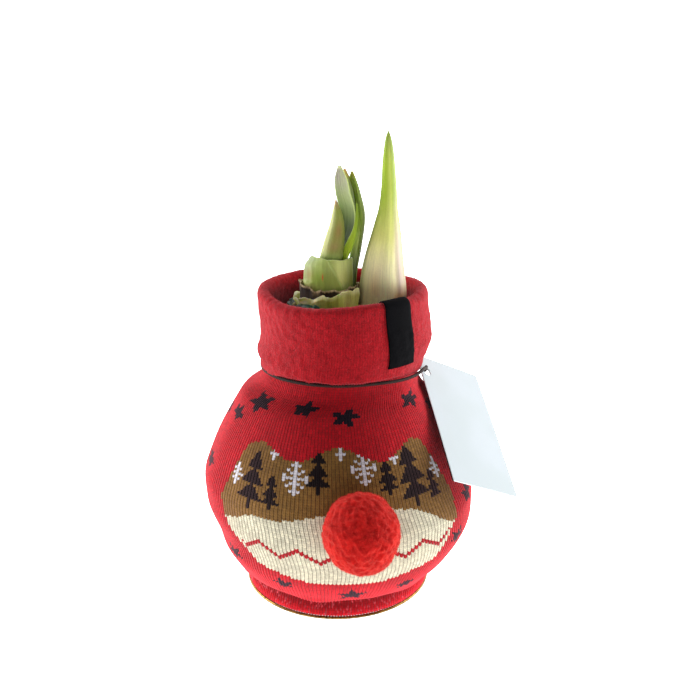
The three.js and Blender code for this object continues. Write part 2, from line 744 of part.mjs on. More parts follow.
addPiece("bulb", bulb([tallSocket, heart]), 0x9a8a5a, 0.6);
addPiece("wax_coat", waxCoat(tallSocket), 0x1d4a40, 0.3);
addPiece("outer_scale", outerScale(), 0xb6bd78, 0.55);
addPiece("dry_tunic", dryTunic(), 0x6b5a45, 0.8);
addPiece("neck_collar", neckCollar(), 0xa9bd6c, 0.45);
addPiece("flower_bud_tall", bud(TALL_BUD, 16), 0xb7cb70, 0.45);
addPiece("flower_bud_short", bud(SHORT_BUD, 14), 0xb5b878, 0.45);
for (const [name, leaf] of Object.entries(LEAVES)) addPiece(name, blade(leaf.stations), leaf.colour, 0.5);
addPiece("knit_cover", knitCover(), 0xa81e28, 0.9);
addPiece("neck_cord", neckCord(), 0x35241f, 0.7);
addPiece("hang_tag", hangTag(), 0xe2ebea, 0.35);
addPiece("woven_label", wovenLabel(), 0x232329, 0.7);
addPiece("pompom", pompom(), 0xd42a30, 0.95);
addPiece("wire_stand", wireStand(), 0xb9923f, 0.3, 0.9);

export default amaryllis;
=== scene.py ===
"""An amaryllis bulb, dipped in wax and dressed in a knitted cover, that stands on a wire ring.

Lengths in the code are millimetres from the bulb's axis, and add_piece turns them into the frame's metres.
The camera, the floor and the lights are placed in metres.
"""
import math

import bmesh
import bpy
import numpy as np
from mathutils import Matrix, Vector


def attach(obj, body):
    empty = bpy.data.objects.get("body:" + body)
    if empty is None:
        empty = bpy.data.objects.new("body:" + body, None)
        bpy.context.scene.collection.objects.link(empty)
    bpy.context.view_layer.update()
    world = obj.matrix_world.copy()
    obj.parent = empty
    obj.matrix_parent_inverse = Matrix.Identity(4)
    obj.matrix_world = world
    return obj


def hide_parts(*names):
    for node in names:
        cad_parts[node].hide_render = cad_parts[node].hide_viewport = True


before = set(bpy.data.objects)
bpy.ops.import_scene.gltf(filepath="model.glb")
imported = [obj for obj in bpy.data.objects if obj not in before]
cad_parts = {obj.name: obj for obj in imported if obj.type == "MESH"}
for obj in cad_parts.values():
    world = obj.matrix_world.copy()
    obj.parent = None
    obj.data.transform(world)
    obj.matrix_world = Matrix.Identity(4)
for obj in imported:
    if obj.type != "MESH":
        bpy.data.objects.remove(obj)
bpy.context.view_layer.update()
MM = 0.001

# The bulb's axis in the frame, and the shared sizes of the solids.
AXIS = np.array([-7.82, 11.9, 0.0])
GAP = 0.3
NECK_TOP = 131.2
# How far the soft body leans to the right, as rows of height and shift.
LEAN = [
    (0, -0.6), (10, -0.3), (20, 0.7), (32, 1.8), (45, 0.4), (58, -1.8), (80, -2.3), (92, -2.3),
    (99, 0.5), (107, 1.5), (120, 2.4), (140, 1.9),
]


# Geometry helpers.

def rgb(red, green, blue):
    """A colour of a screen as a linear one."""
    values = np.array([red, green, blue]) / 255
    linear = np.where(values <= 0.04045, values / 12.92, ((values + 0.055) / 1.055) ** 2.4)
    return (*linear, 1.0)


def ease(start, end, value):
    """A smooth step from 0 to 1 between two values."""
    share = np.clip((np.asarray(value, float) - start) / (end - start), 0, 1)
    return share * share * (3 - 2 * share)


def lean(height):
    """How far the soft body is pushed to the right at a height."""
    height = np.asarray(height, float)
    shift = np.full(height.shape, float(LEAN[0][1]))
    for (low, before), (high, after) in zip(LEAN, LEAN[1:]):
        shift = np.where(height >= low, before + (after - before) * ease(low, high, height), shift)
    return shift


def bell(value, centre, width):
    """A soft hump of height 1."""
    return np.exp(-(((np.asarray(value, float) - centre) / width) ** 2))


def unit(vectors):
    """The vectors at length 1."""
    return vectors / np.linalg.norm(vectors, axis=-1, keepdims=True)


def ripple(points, size, seed, waves=14):
    """A smooth random field, about -1 to 1, with humps about as large as size."""
    random = np.random.default_rng(seed)
    directions = unit(random.normal(size=(waves, 3)))
    directions *= (2 * math.pi / size) * random.uniform(0.6, 1.5, waves)[:, None]
    phases = random.uniform(0, 2 * math.pi, waves)
    return np.sin(np.asarray(points) @ directions.T + phases).sum(-1) / math.sqrt(waves)


def ripples(points, seed, *layers):
    """Random fields laid over each other, each given as its depth and the size of its humps."""
    return sum(depth * ripple(points, size, seed + step) for step, (depth, size) in enumerate(layers))


def smooth_line(rows, places):
    """The values at the places 0 to 1 of one smooth line through all the rows."""
    rows = np.asarray(rows, float)
    padded = np.vstack([2 * rows[0] - rows[1], rows, 2 * rows[-1] - rows[-2]])
    spans = len(rows) - 1
    at = np.clip(np.asarray(places, float) * spans, 0, spans - 1e-9)
    row = at.astype(int)
    share = (at - row)[:, None]
    p0, p1, p2, p3 = (padded[row + step] for step in range(4))
    d1, d2, d3 = (
        np.maximum(np.linalg.norm(end - start, axis=1), 1e-9)[:, None] ** 0.5
        for start, end in ((p0, p1), (p1, p2), (p2, p3))
    )
    leave = ((p1 - p0) / d1 - (p2 - p0) / (d1 + d2) + (p2 - p1) / d2) * d2
    arrive = ((p2 - p1) / d2 - (p3 - p1) / (d2 + d3) + (p3 - p2) / d3) * d2
    cubic = 2 * p1 - 2 * p2 + leave + arrive
    square = -3 * p1 + 3 * p2 - 2 * leave - arrive
    return ((cubic * share + square) * share + leave) * share + p1


def even_line(rows, spacing):
    """Points about spacing apart along the smooth line through the rows."""
    fine = smooth_line(rows, np.linspace(0, 1, 60 * len(rows)))
    along = np.concatenate([[0], np.cumsum(np.linalg.norm(np.diff(fine, axis=0), axis=1))])
    count = max(2, round(along[-1] / spacing))
    even = np.linspace(0, along[-1], count + 1)
    return np.column_stack([np.interp(even, along, column) for column in fine.T])


def arc(height, radius, size, start, end, steps):
    """Rows of (height, radius) round a centre, from one angle above the outward level to another."""
    angles = np.radians(np.linspace(start, end, steps))
    return list(zip(height + size * np.sin(angles), radius + size * np.cos(angles)))


def grid_faces(rows, columns, wraps_columns=False, wraps_rows=False):
    """The four-sided faces of a grid of points kept row by row."""
    row = np.arange(rows if wraps_rows else rows - 1)[:, None]
    column = np.arange(columns if wraps_columns else columns - 1)[None, :]
    next_row = (row + 1) % rows
    next_column = (column + 1) % columns
    corners = (
        row * columns + column,
        row * columns + next_column,
        next_row * columns + next_column,
        next_row * columns + column,
    )
    return np.stack(np.broadcast_arrays(*corners), -1).reshape(-1, 4)


def capped_tube(rows, sides):
    """The faces of a tube of rows of points, with a flat cap on each end."""
    ends = [list(range(sides)), list(range((rows - 1) * sides, rows * sides))]
    return grid_faces(rows, sides, wraps_columns=True).tolist() + ends


def grid_uvs(rows, columns, across=1.0, along=1.0):
    """Each face corner's place on a grid of faces, in steps of across and along."""
    row, column = np.meshgrid(np.arange(rows), np.arange(columns), indexing="ij")
    corners = [(column, row), (column + 1, row), (column + 1, row + 1), (column, row + 1)]
    return np.stack([np.stack([u * across, v * along], -1) for u, v in corners], 2).reshape(-1, 2)


def capped_uvs(rows, sides, across=1.0, along=1.0):
    """The uvs of a capped tube. The caps lie at one place."""
    return np.vstack([grid_uvs(rows - 1, sides, across, along), np.zeros((2 * sides, 2))])


def add_piece(name, points, faces, material, replaces=(), uvs=None, colours=None, turn_out=False):
    """A smooth mesh piece of the object. uvs are face corners', colours face corners' or points'."""
    mesh = bpy.data.meshes.new(name)
    placed = (np.asarray(points) + AXIS) * MM
    mesh.from_pydata(placed.tolist(), [], [list(map(int, face)) for face in faces])
    if uvs is not None:
        mesh.uv_layers.new(name="UVMap").data.foreach_set("uv", np.asarray(uvs, np.float32).ravel())
    if colours is not None:
        colours = np.asarray(colours, np.float32)
        domain = "CORNER" if len(colours) == len(mesh.loops) else "POINT"
        mesh.color_attributes.new("tint", "FLOAT_COLOR", domain).data.foreach_set("color", colours.ravel())
    mesh.polygons.foreach_set("use_smooth", [True] * len(mesh.polygons))
    if turn_out:
        work = bmesh.new()
        work.from_mesh(mesh)
        bmesh.ops.recalc_face_normals(work, faces=work.faces)
        work.to_mesh(mesh)
        work.free()
    mesh.update()
    piece = bpy.data.objects.new(name, mesh)
    bpy.context.scene.collection.objects.link(piece)
    mesh.materials.append(material)
    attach(piece, "root")
    if replaces:
        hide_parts(*replaces)
    return piece


def blend_colours(base, *layers):
    """A colour for each point: the base, with (share, colour) layers laid over it."""
    shape = np.broadcast_shapes(*(np.shape(share) for share, _ in layers))
    colours = np.broadcast_to(base, (*shape, 4)).astype(float)
    for share, colour in layers:
        share = np.clip(np.broadcast_to(share, shape), 0, 1)[..., None]
        colours = colours + (np.asarray(colour) - colours) * share
    return colours


# Material helpers.

class Graph:
    """The nodes of one material, made and joined by short calls."""

    def __init__(self, name, **sockets):
        self.material = bpy.data.materials.new(name)
        self.material.use_nodes = True
        self.tree = self.material.node_tree
        self.shader = self.tree.nodes["Principled BSDF"]
        for socket, value in sockets.items():
            self.shader.inputs[socket.replace("_", " ")].default_value = value

    def node(self, kind, *inputs, out=0, **settings):
        """An output of a new node, whose inputs are linked, set or left alone in their order."""
        made = self.tree.nodes.new("ShaderNode" + kind)
        for setting, value in settings.items():
            setattr(made, setting, value)
        for place, value in enumerate(inputs):
            if isinstance(value, bpy.types.NodeSocket):
                self.tree.links.new(value, made.inputs[place])
            elif value is not None:
                made.inputs[place].default_value = value
        return made.outputs[out]

    def maths(self, operation, *inputs):
        return self.node("Math", *inputs, operation=operation)

    def product(self, first, *others):
        """The values multiplied together."""
        for other in others:
            first = self.maths("MULTIPLY", first, other)
        return first

    def weighed(self, start, *pairs):
        """A starting value plus each (value, weight) multiplied."""
        for value, weight in pairs:
            start = self.maths("MULTIPLY_ADD", value, weight, start)
        return start

    def times(self, colour, shade):
        """A colour made lighter or darker."""
        return self.node("VectorMath", colour, shade, operation="MULTIPLY")

    def between(self, value, low, high, first=0.0, last=1.0):
        """A smooth step of value from first to last."""
        return self.node("MapRange", value, low, high, first, last, interpolation_type="SMOOTHSTEP")

    def place(self, stretch=(1, 1, 1)):
        """The point on the object, in metres, stretched along each direction."""
        return self.stretched(self.node("TexCoord", out=3), stretch)

    def stretched(self, vector, stretch):
        return self.node("Mapping", vector, None, None, stretch)

    def uv(self, stretch=(1, 1, 1)):
        return self.stretched(self.node("TexCoord", out=2), stretch)

    def noise(self, vector, scale, detail=3.0, roughness=0.55):
        made = self.tree.nodes.new("ShaderNodeTexNoise")
        self.tree.links.new(vector, made.inputs["Vector"])
        made.inputs["Scale"].default_value = scale
        made.inputs["Detail"].default_value = detail
        made.inputs["Roughness"].default_value = roughness
        return made.outputs["Fac"]

    def random(self, vector):
        return self.node("TexWhiteNoise", vector)

    def mix(self, share, first, second):
        return self.node("MixRGB", share, first, second)

    def tint(self):
        return self.node("Attribute", attribute_name="tint")

    def colour(self, value):
        self.tree.links.new(value, self.shader.inputs["Base Color"])

    def rough(self, value):
        self.tree.links.new(value, self.shader.inputs["Roughness"])

    def bump(self, height, strength, distance):
        made = self.tree.nodes.new("ShaderNodeBump")
        made.inputs["Strength"].default_value = strength
        made.inputs["Distance"].default_value = distance * MM
        self.tree.links.new(height, made.inputs["Height"])
        self.tree.links.new(made.outputs["Normal"], self.shader.inputs["Normal"])


# Camera, floor and light.

CAMERA_LENS, SENSOR_WIDTH = 48.86, 36
CAMERA_PLACE = (-0.00272, -0.3841, 0.2405)
CAMERA_DOWN = 18.35
# The world's light grows along this direction, from dim in front and above to bright behind and below.
WORLD_BRIGHTENS = (0, 1, -0.5)
WORLD_RANGE = {"From Min": -0.95, "From Max": 0.2, "To Min": 0.16, "To Max": 1.7}
FLOOR_SIZE = 80
SIDE_LIGHT = {"target": (0, 0, 0.08), "size": (0.5, 0.7), "power": 6}


def add_camera():
    data = bpy.data.cameras.new("camera")
    data.lens = CAMERA_LENS
    data.sensor_width = SENSOR_WIDTH
    camera = bpy.data.objects.new("camera", data)
    camera.location = CAMERA_PLACE
    camera.rotation_euler = (math.radians(90 - CAMERA_DOWN), 0, 0)
    bpy.context.scene.collection.objects.link(camera)
    bpy.context.scene.camera = camera


def add_light(name, place, target, size, power):
    data = bpy.data.lights.new(name, "AREA")
    data.shape = "RECTANGLE"
    data.size, data.size_y = size
    data.energy = power
    light = bpy.data.objects.new(name, data)
    light.location = place
    light.rotation_euler = (Vector(target) - Vector(place)).to_track_quat("-Z", "Y").to_euler()
    bpy.context.scene.collection.objects.link(light)


def add_world():
    world = bpy.data.worlds.new("studio")
    world.use_nodes = True
    tree = world.node_tree
    direction = tree.nodes.new("ShaderNodeVectorMath")
    direction.operation = "DOT_PRODUCT"
    direction.inputs[1].default_value = WORLD_BRIGHTENS
    tree.links.new(tree.nodes.new("ShaderNodeTexCoord").outputs["Generated"], direction.inputs[0])
    strength = tree.nodes.new("ShaderNodeMapRange")
    strength.interpolation_type = "SMOOTHSTEP"
    tree.links.new(direction.outputs["Value"], strength.inputs["Value"])
    for socket, value in WORLD_RANGE.items():
        strength.inputs[socket].default_value = value
    tree.links.new(strength.outputs[0], tree.nodes["Background"].inputs["Strength"])
    tree.nodes["Background"].inputs["Color"].default_value = (1, 1, 1, 1)
    bpy.context.scene.world = world


def add_floor():
    """White paper that glows, more so under and behind the object than before it."""
    bpy.ops.mesh.primitive_plane_add(size=FLOOR_SIZE)
    floor = bpy.context.object
    floor.name = "floor"
    paper = Graph("studio_paper", Base_Color=(0.5, 0.5, 0.5, 1), Roughness=0.8, Emission_Color=(1, 1, 1, 1))
    depth = paper.node("SeparateXYZ", paper.place(), out=1)
    glow = paper.between(depth, -0.4, -0.04, 1.0, 2.1)
    paper.tree.links.new(glow, paper.shader.inputs["Emission Strength"])
    floor.data.materials.append(paper.material)


def add_studio():
    bpy.context.scene.view_settings.view_transform = "Standard"
    add_world()
    add_floor()
    add_light("left", (-0.7, 0.15, 0.2), **SIDE_LIGHT)
    add_light("right", (0.7, 0.15, 0.2), **SIDE_LIGHT)
    add_light("overhead", (-0.1, -0.1, 0.95), target=(0, 0, 0), size=(0.6, 0.6), power=0.4)


# The knitted cover.

WALES = 208
ROW_HEIGHT = 1.05
BODY_SEED, CUFF_SEED = 5, 9
# The cover from inside its hem, down, and up its outside to the neck, as rows of height and radius.
COVER_LINE = [
    (13.2, 43.6), (9.6, 39.3), (6.2, 38.8), (3.2, 39.6), (1.4, 40.7), (1.1, 41.5), (2.1, 42.0),
    (4.2, 41.7), (6.0, 41.1), (8.2, 40.7), (10.7, 41.3), (11.5, 42.3), (11.0, 43.4), (10.3, 44.3),
    (11.0, 45.5), (13.5, 47.5), (18, 51), (24, 54.5), (31, 57.1), (38, 59.1), (46, 60.2), (54, 59.1),
    (62, 56.5), (70, 53.2), (78, 49), (86, 44.4), (92.5, 40.2), (96, 36.4), (99.5, 34.6), (104, 33.9),
    (107.6, 34.4),
]
FOLD_RADIUS = 2.5
CUFF_TOP = 138.8
FOLD_CENTRE = (CUFF_TOP - FOLD_RADIUS, 34)
# The folded collar from its lower edge up its outside, over the fold and down its inside.
CUFF_LINE = [
    (110, 35.3), (107.2, 35.6), (106.4, 36.3), (107, 37.0), (109.5, 37.0), (123, 36.7), (131, 36.5),
    *arc(*FOLD_CENTRE, FOLD_RADIUS, 0, 180, 9), (128, 31.4), (116, 31.9), (108, 33.2),
]

YARN_RED = rgb(180, 15, 28)
YARN_NAVY = rgb(5, 7, 22)
YARN_BLACK = rgb(7, 7, 8)
YARN_BROWN = rgb(124, 91, 44)
YARN_CREAM = rgb(208, 203, 178)
YARN_WHITE = rgb(212, 208, 214)
YARN_SCARLET = rgb(166, 20, 30)
YARN_FROSTED = rgb(206, 66, 76)
STAR_STRETCH = 1.5


def star_shape(across, up, size, turn):
    """Whether places lie in a five-pointed star, stretched sideways as the knitting is."""
    across = across / STAR_STRETCH
    angle = np.arctan2(across, up) - math.radians(turn)
    fold = np.abs((angle / (2 * math.pi) * 5 + 0.5) % 1 - 0.5) * 2
    reach = size * (1 - 0.57 * fold ** 0.8)
    return np.hypot(across, up) < reach


def fir_shape(across, up, height, width):
    """Whether places lie in a fir of three tiers on a short trunk."""
    share = up / height
    tier = np.mod(share * 3, 1)
    reach = width * (1 - 0.24 * np.floor(np.clip(share, 0, 0.99) * 3)) * (1 - tier) ** 0.9 + 0.4
    trunk = (np.abs(across) < 0.1 * width) & (up > -0.16 * height) & (up <= 0)
    return (np.abs(across) < reach) & (share > 0) & (share < 1) | trunk


def flake_shape(wale, row, size):
    """Whether stitches, counted from the middle, lie in a snow crystal of size 0 (a dot) to 3."""
    wale, row = np.abs(wale), np.abs(row)
    upright = (wale == 0) & (row <= 2 * size)
    level = (row == 0) & (wale <= size)
    slanting = (wale > 0) & (wale < size) & (row == np.round(1.6 * wale))
    twigs = (size > 2) & ((wale == 1) & (row == 5) | (wale == 3) & (row == 1))
    return upright | level | slanting | twigs


# Degrees round the cover from its front, height, size and turn of each star.
STARS = [
    (-52.2, 94.1, 5.3, -36), (-67.1, 87.6, 4.2, -46), (-19.1, 95, 4, 4), (7.6, 93.1, 4.5, 12),
    (56.3, 94.8, 5.1, 27), (-76, 64, 4.6, 15), (-56, 27.8, 4.4, 40), (71.2, 50.3, 4.6, 10),
    (58.1, 35.6, 4.4, 30), (-26, 21.2, 3.9, 50), (5.9, 18.2, 4.6, 0), (33, 18.6, 3.6, 70),
    (78, 88, 3.8, 25), (96, 66, 4.2, 50), (104, 34, 4, 0), (122, 88, 4, 20), (138, 55, 4.4, 70),
    (150, 25, 4, 30), (166, 92, 3.8, 5), (180, 66, 4.2, 40), (196, 36, 4, 20), (208, 88, 4, 60),
    (222, 58, 4.2, 10), (238, 92, 3.8, 35), (248, 30, 4, 50), (260, 60, 4.2, 0), (272, 84, 3.8, 25),
    (180, 20, 3.6, 15),
]
# Degrees round, height of the foot, height and half width of each fir.
FIRS = [
    (-38, 60, 20, 7.2), (-26.5, 60.5, 12, 4.6), (-6, 68.5, 14.5, 5.4), (25, 66, 12, 4.6),
    (37.5, 61, 22, 7.6), (47, 58.5, 12, 4.2),
]
# Degrees round, height and size of each snow crystal.
FLAKES = [
    (-16.5, 71.5, 3), (-47.5, 67.5, 2), (15, 75, 3), (53, 68.5, 2), (4.5, 81, 1), (-29, 79.5, 1),
    (30.5, 77, 1),
]


def snow_edge(turn):
    """The height of the snow's upper edge on the picture."""
    return 57.5 + 3.2 * np.sin(np.radians(turn * 4.4 + 40)) - 9.5 * ease(33, 55, np.abs(turn - 1))


def snow_foot(turn):
    """The height of the picture's lower edge."""
    return 25.5 + 4 * ease(8, 40, np.abs(turn - 2)) + 18 * ease(38, 58, np.abs(turn - 2))


def hill_top(turn):
    """The height of the hills' tops."""
    humps = 8.5 * bell(turn, -37, 15) + 9.5 * bell(turn, 3, 17) + 8.5 * bell(turn, 43, 14)
    return 73.5 + humps - 28 * ease(46, 63, np.abs(turn - 2))


def stitch_colours(turn, height, run, radius):
    """The yarn of each half stitch, from its angle, height, run along the knitting and radius."""
    colours = np.broadcast_to(YARN_RED, (*turn.shape, 4)).copy()

    def beyond(centre):
        """Along the rows from an angle."""
        return np.radians((turn - centre + 180) % 360 - 180) * radius

    def across(centre):
        """Along the rows from the wale nearest to an angle."""
        step = 360 / WALES
        return beyond((math.floor(centre / step) + 0.5) * step)

    def up(level):
        """Along the wales from the row nearest to a height, on the cover's outside."""
        inside = (radius < 43) & (height < 20)
        return run - run.ravel()[np.argmin(np.abs(height - level) + 50 * inside)]

    for centre, level, size, spin in STARS:
        colours[star_shape(beyond(centre), up(level), size, spin)] = YARN_NAVY
    beside = np.abs(turn - 2) > 57 - 0.25 * np.maximum(0, 58 - height)
    hills = (height < hill_top(turn)) & (height > snow_edge(turn)) & ~beside
    snow = (height <= snow_edge(turn)) & (height > snow_foot(turn)) & ~beside
    colours[hills] = YARN_BROWN
    colours[snow] = YARN_CREAM
    for centre, level, size in FLAKES:
        wales = np.round(across(centre) / (2 * math.pi * radius / WALES))
        colours[flake_shape(wales, np.round(up(level) / ROW_HEIGHT), size) & hills] = YARN_WHITE
    for centre, level, tall, wide in FIRS:
        colours[fir_shape(across(centre), up(level), tall, wide)] = YARN_BLACK
    wale = np.round(turn * WALES / 360 - 0.5)
    wave = np.abs(wale % 10 - 5) - 2.5
    zigzag = np.abs(up(41) / ROW_HEIGHT - wave) < 0.75
    colours[snow & zigzag & (height > snow_foot(turn) + 3)] = YARN_SCARLET
    return colours


def front_places(turn, radius, height):
    """Places round the leaning axis, at angles from the front."""
    return np.stack(
        np.broadcast_arrays(lean(height) + radius * np.sin(turn), -radius * np.cos(turn), height), -1
    )


def field_places(turn, radius, height):
    """Places round an upright axis, at which a random field is read."""
    return np.stack(np.broadcast_arrays(radius * np.sin(turn), radius * np.cos(turn), height), -1)


def knit_lattice(line, lumps, relief, seed):
    """The profile, points, faces and uvs of a knitted tube. A stitch is a V of two faces."""
    profile = even_line(line, ROW_HEIGHT)
    tangent = unit(np.gradient(profile, axis=0))
    rows = len(profile)
    steps = np.arange(rows, dtype=float)
    column = np.arange(2 * WALES)
    middle = (column % 2)[None, :]
    angle = (column * math.pi / WALES)[None, :]
    at = np.clip(steps[:, None] - 0.45 * middle, 0, rows - 1)
    height, radius, rise, spread = (
        np.interp(at, steps, values) for values in (*profile.T, *tangent.T)
    )
    raised = relief * (middle - 0.5) + lumps(angle, height, radius, seed)
    points = front_places(angle, radius + rise * raised, height - spread * raised)
    faces = grid_faces(rows, 2 * WALES, wraps_columns=True)
    return profile, points.reshape(-1, 3), faces, grid_uvs(rows - 1, 2 * WALES, across=0.5)


def body_lumps(angle, height, radius, seed):
    """The soft unevenness of the cover, drawn in at the right of its neck, with a wavy fold at its foot."""
    soft = 0.35 * ripple(field_places(angle, radius, height), size=45, seed=seed) * ease(14, 30, height)
    waist = 0.3 * bell(height, 101, 5) * np.maximum(0, np.sin(angle)) ** 2
    fold = bell(height, 10.8, 1.6) * (radius > 42.5)
    tucked = 1.3 * bell(angle, math.radians(320), 0.35)
    waves = 0.5 * np.sin(3 * angle + 0.6) + 0.4 * np.sin(7 * angle) + 0.25 * np.sin(13 * angle + 1)
    return soft - waist - fold * (tucked + waves)


def cuff_lumps(angle, height, radius, seed):
    """The soft unevenness of the folded collar, which stands out at its right and in at its left."""
    soft = ripples(field_places(angle, radius, height), seed, (0.25, 26), (0.12, 5), (0.07, 2))
    pushed = np.sin(angle) * bell(height, 120, 7) * (radius > 35) * bell(np.abs(np.sin(angle)), 1, 0.3)
    return soft + 0.8 * pushed


def knit_graph(name, **sockets):
    """A knitted surface's graph, how far across its wale a point lies, and the stitch's place as sockets."""
    graph = Graph(name, Sheen_Roughness=0.5, Specular_IOR_Level=0.12, **sockets)
    places = graph.node("SeparateXYZ", graph.uv()).node.outputs
    across = graph.maths("FRACT", places[0])
    return graph, across, places


def wale_gap(graph, across, start):
    """How deep in the gap between two wales a point lies."""
    return graph.between(graph.maths("ABSOLUTE", graph.maths("SUBTRACT", across, 0.5)), start, 0.5)


def one_each(graph, across, along):
    """A random value for each stitch, or part of one, that the two counts tell apart."""
    return graph.random(
        graph.node("CombineXYZ", graph.maths("FLOOR", across), graph.maths("FLOOR", along), 0.0)
    )


def knit_material():
    """Fine knitting: two slanting legs of yarn to a stitch, and dark gaps between the wales with painted
    shade, most halfway along each loop; each loop is painted darker towards its ends.
    """
    graph, across, places = knit_graph(
        "fine_knit", Roughness=0.85, Sheen_Weight=0.2, Sheen_Tint=(1, 0.5, 0.55, 1)
    )
    along = graph.maths("FRACT", places[1])
    leg = graph.maths("ABSOLUTE", graph.maths("SINE", graph.product(across, 2 * math.pi)))
    leg = graph.maths("POWER", leg, 0.6)
    loop = graph.maths("POWER", graph.maths("SINE", graph.product(along, math.pi)), 0.5)
    gap = wale_gap(graph, across, start=0.33)
    # Painted shade: the gaps between the wales are painted darker, most halfway along each loop, and each
    # loop is painted darker towards its ends.
    hole = graph.product(gap, graph.between(loop, 0.5, 0.95, 0.1, 1.0))
    fuzz = graph.noise(graph.place(), 900, 4)
    patch = graph.noise(graph.place(), 60, 2)
    shade = graph.product(
        graph.weighed(0.7, (hole, -0.72), (loop, 0.3)),
        graph.between(one_each(graph, *places[:2]), 0, 1, 0.86, 1.12),
        graph.between(fuzz, 0.3, 0.7, 0.86, 1.12),
        graph.between(patch, 0.3, 0.7, 0.93, 1.07),
    )
    graph.colour(graph.times(graph.tint(), shade))
    height = graph.weighed(0.0, (leg, 0.5), (loop, 0.35), (gap, -0.5), (fuzz, 0.35))
    graph.bump(height, strength=0.8, distance=0.35)
    return graph.material


def brushed_material():
    """The brushed inner side of the knitting: short matted pile in which the wales hardly show."""
    graph, across, places = knit_graph(
        "brushed_knit", Roughness=0.95, Sheen_Weight=0.26, Sheen_Tint=(1, 0.4, 0.45, 1)
    )
    gap = wale_gap(graph, across, start=0.2)
    each = one_each(graph, graph.product(places[0], 2.0), places[1])
    pile = graph.noise(graph.place(), 1700, 4, 0.65)
    tuft = graph.noise(graph.place((1, 1, 1.4)), 700, 3)
    patch = graph.noise(graph.place(), 80, 2)
    red = graph.mix(graph.between(pile, 0.3, 0.48), rgb(100, 5, 11), rgb(162, 16, 26))
    red = graph.mix(graph.between(pile, 0.6, 0.8, 0, 0.7), red, rgb(186, 40, 50))
    # Painted shade: the gaps between the wales are painted a little darker.
    shade = graph.product(
        graph.weighed(1.0, (gap, -0.26)),
        graph.between(each, 0, 1, 0.84, 1.12),
        graph.between(tuft, 0.3, 0.7, 0.86, 1.12),
        graph.between(patch, 0.3, 0.7, 0.93, 1.07),
    )
    graph.colour(graph.times(graph.times(red, graph.tint()), shade))
    graph.bump(graph.weighed(pile, (tuft, 0.6)), strength=0.8, distance=0.5)
    return graph.material


def body_yarn(profile):
    """The colour of each half stitch of the cover's body, with painted light on its lip, painted shade under
    the lip and painted light towards the floor on its hem, and flecks on its hem.
    """
    turn = (np.arange(2 * WALES) + 0.5) * 180 / WALES
    turn = np.where(turn > 270, turn - 360, turn)
    middle = (profile[:-1] + profile[1:]) / 2
    run = np.arange(len(middle)) * ROW_HEIGHT
    turn, height, radius, run = np.broadcast_arrays(
        turn[None, :], middle[:, :1], middle[:, 1:], run[:, None]
    )
    yarn = stitch_colours(turn, height, run, radius)
    # Painted light: the lip is painted lighter where light from the floor falls on it.
    lip = bell(height, 15, 8) * (radius > 43)
    yarn[..., :3] *= 1 + 0.5 * lip[..., None]
    hem = (radius < 45) & (height < 12)
    # Painted shade and light: the hem is painted darker just under the lip and lighter towards the floor.
    yarn[hem] = np.array(YARN_RED) * (1.6 - 0.9 * ease(2.5, 8, height[hem]))[:, None]
    yarn[hem & (np.random.default_rng(6).random(hem.shape) > 0.88)] = YARN_FROSTED
    return yarn


def beside_label(places):
    """Whether places lie on the collar's outside or fold, clear of its lower edge and of the label."""
    across = places[:, 0] - lean(places[:, 2])
    turn = np.degrees(np.arctan2(across, -places[:, 1]))
    outside = (np.hypot(across, places[:, 1]) > 34) | (places[:, 2] > 134)
    return ((turn < 26.5) | (turn > 53)) & (places[:, 2] > 106) & outside


def add_cover():
    profile, points, faces, uvs = knit_lattice(COVER_LINE, body_lumps, relief=0.42, seed=BODY_SEED)
    body = add_piece(
        "knit_cover_body", points, faces, knit_material(), ["knit_cover"], uvs,
        np.repeat(body_yarn(profile).reshape(-1, 4), 4, axis=0), turn_out=True,
    )
    _, points, faces, uvs = knit_lattice(CUFF_LINE, cuff_lumps, relief=0.1, seed=CUFF_SEED)
    distance = np.hypot(points[:, 0] - lean(points[:, 2]), points[:, 1])
    # Painted shade: the collar's inside is painted dark low down, where little light reaches.
    inside = (1 - ease(131, 138, points[:, 2])) * (distance < 34)
    painted_inner_shade = blend_colours((1.0, 1.0, 1.0, 1.0), (inside * 0.87, (0.25, 0.13, 0.13, 1.0)))
    cuff = add_piece(
        "knit_cover_cuff", droop(points), faces, brushed_material(), ["knit_cover"], uvs,
        painted_inner_shade, turn_out=True,
    )
    pile = fibre_material("cuff_fibre", rgb(160, 20, 32), rgb(214, 66, 78))
    add_fibres("knit_cover_pile", cuff, pile, beside_label, count=24000, length=0.55, seed=12)


def droop(points):
    """The collar with its lower edge low and close at the sides under a bulge, and its rim low in places."""
    points = points.copy()
    across = points[:, 0] - lean(points[:, 2])
    distance = np.hypot(across, points[:, 1])
    at_side = ease(0.6, 0.98, np.abs(across) / distance)
    outside = distance > 34.5
    foot = (1 - ease(108, 122, points[:, 2])) * outside
    left = np.arctan2(-across, -points[:, 1])
    front_left = bell(left, math.radians(34), math.radians(30))
    behind = ease(0.1, 0.9, points[:, 1] / distance)
    rim = ease(122, 137, points[:, 2])
    lower = 2.2 + 1.2 * (across < 0)
    points[:, 2] -= lower * at_side * foot + rim * (2.3 * front_left + 0.8 * behind)
    tucked = 1.3 * (1 - ease(107.5, 111.5, points[:, 2]))
    bulged = 0.9 * bell(points[:, 2], np.where(across < 0, 111.4, 116), 3)
    closer = (tucked - bulged) * outside * at_side
    points[:, 0] -= across / distance * closer
    points[:, 1] -= points[:, 1] / distance * closer
    return points


# The felted ball on the front, and loose fibres.

POMPOM = np.array([9.5, -68.2, 56.6])
POMPOM_RADIUS = 15.6
POMPOM_HALF_HEIGHT = 16.8
FELT_INSET = 0.75
FIBRE_WIDTH, FIBRE_LEAN = 0.06, 1.1


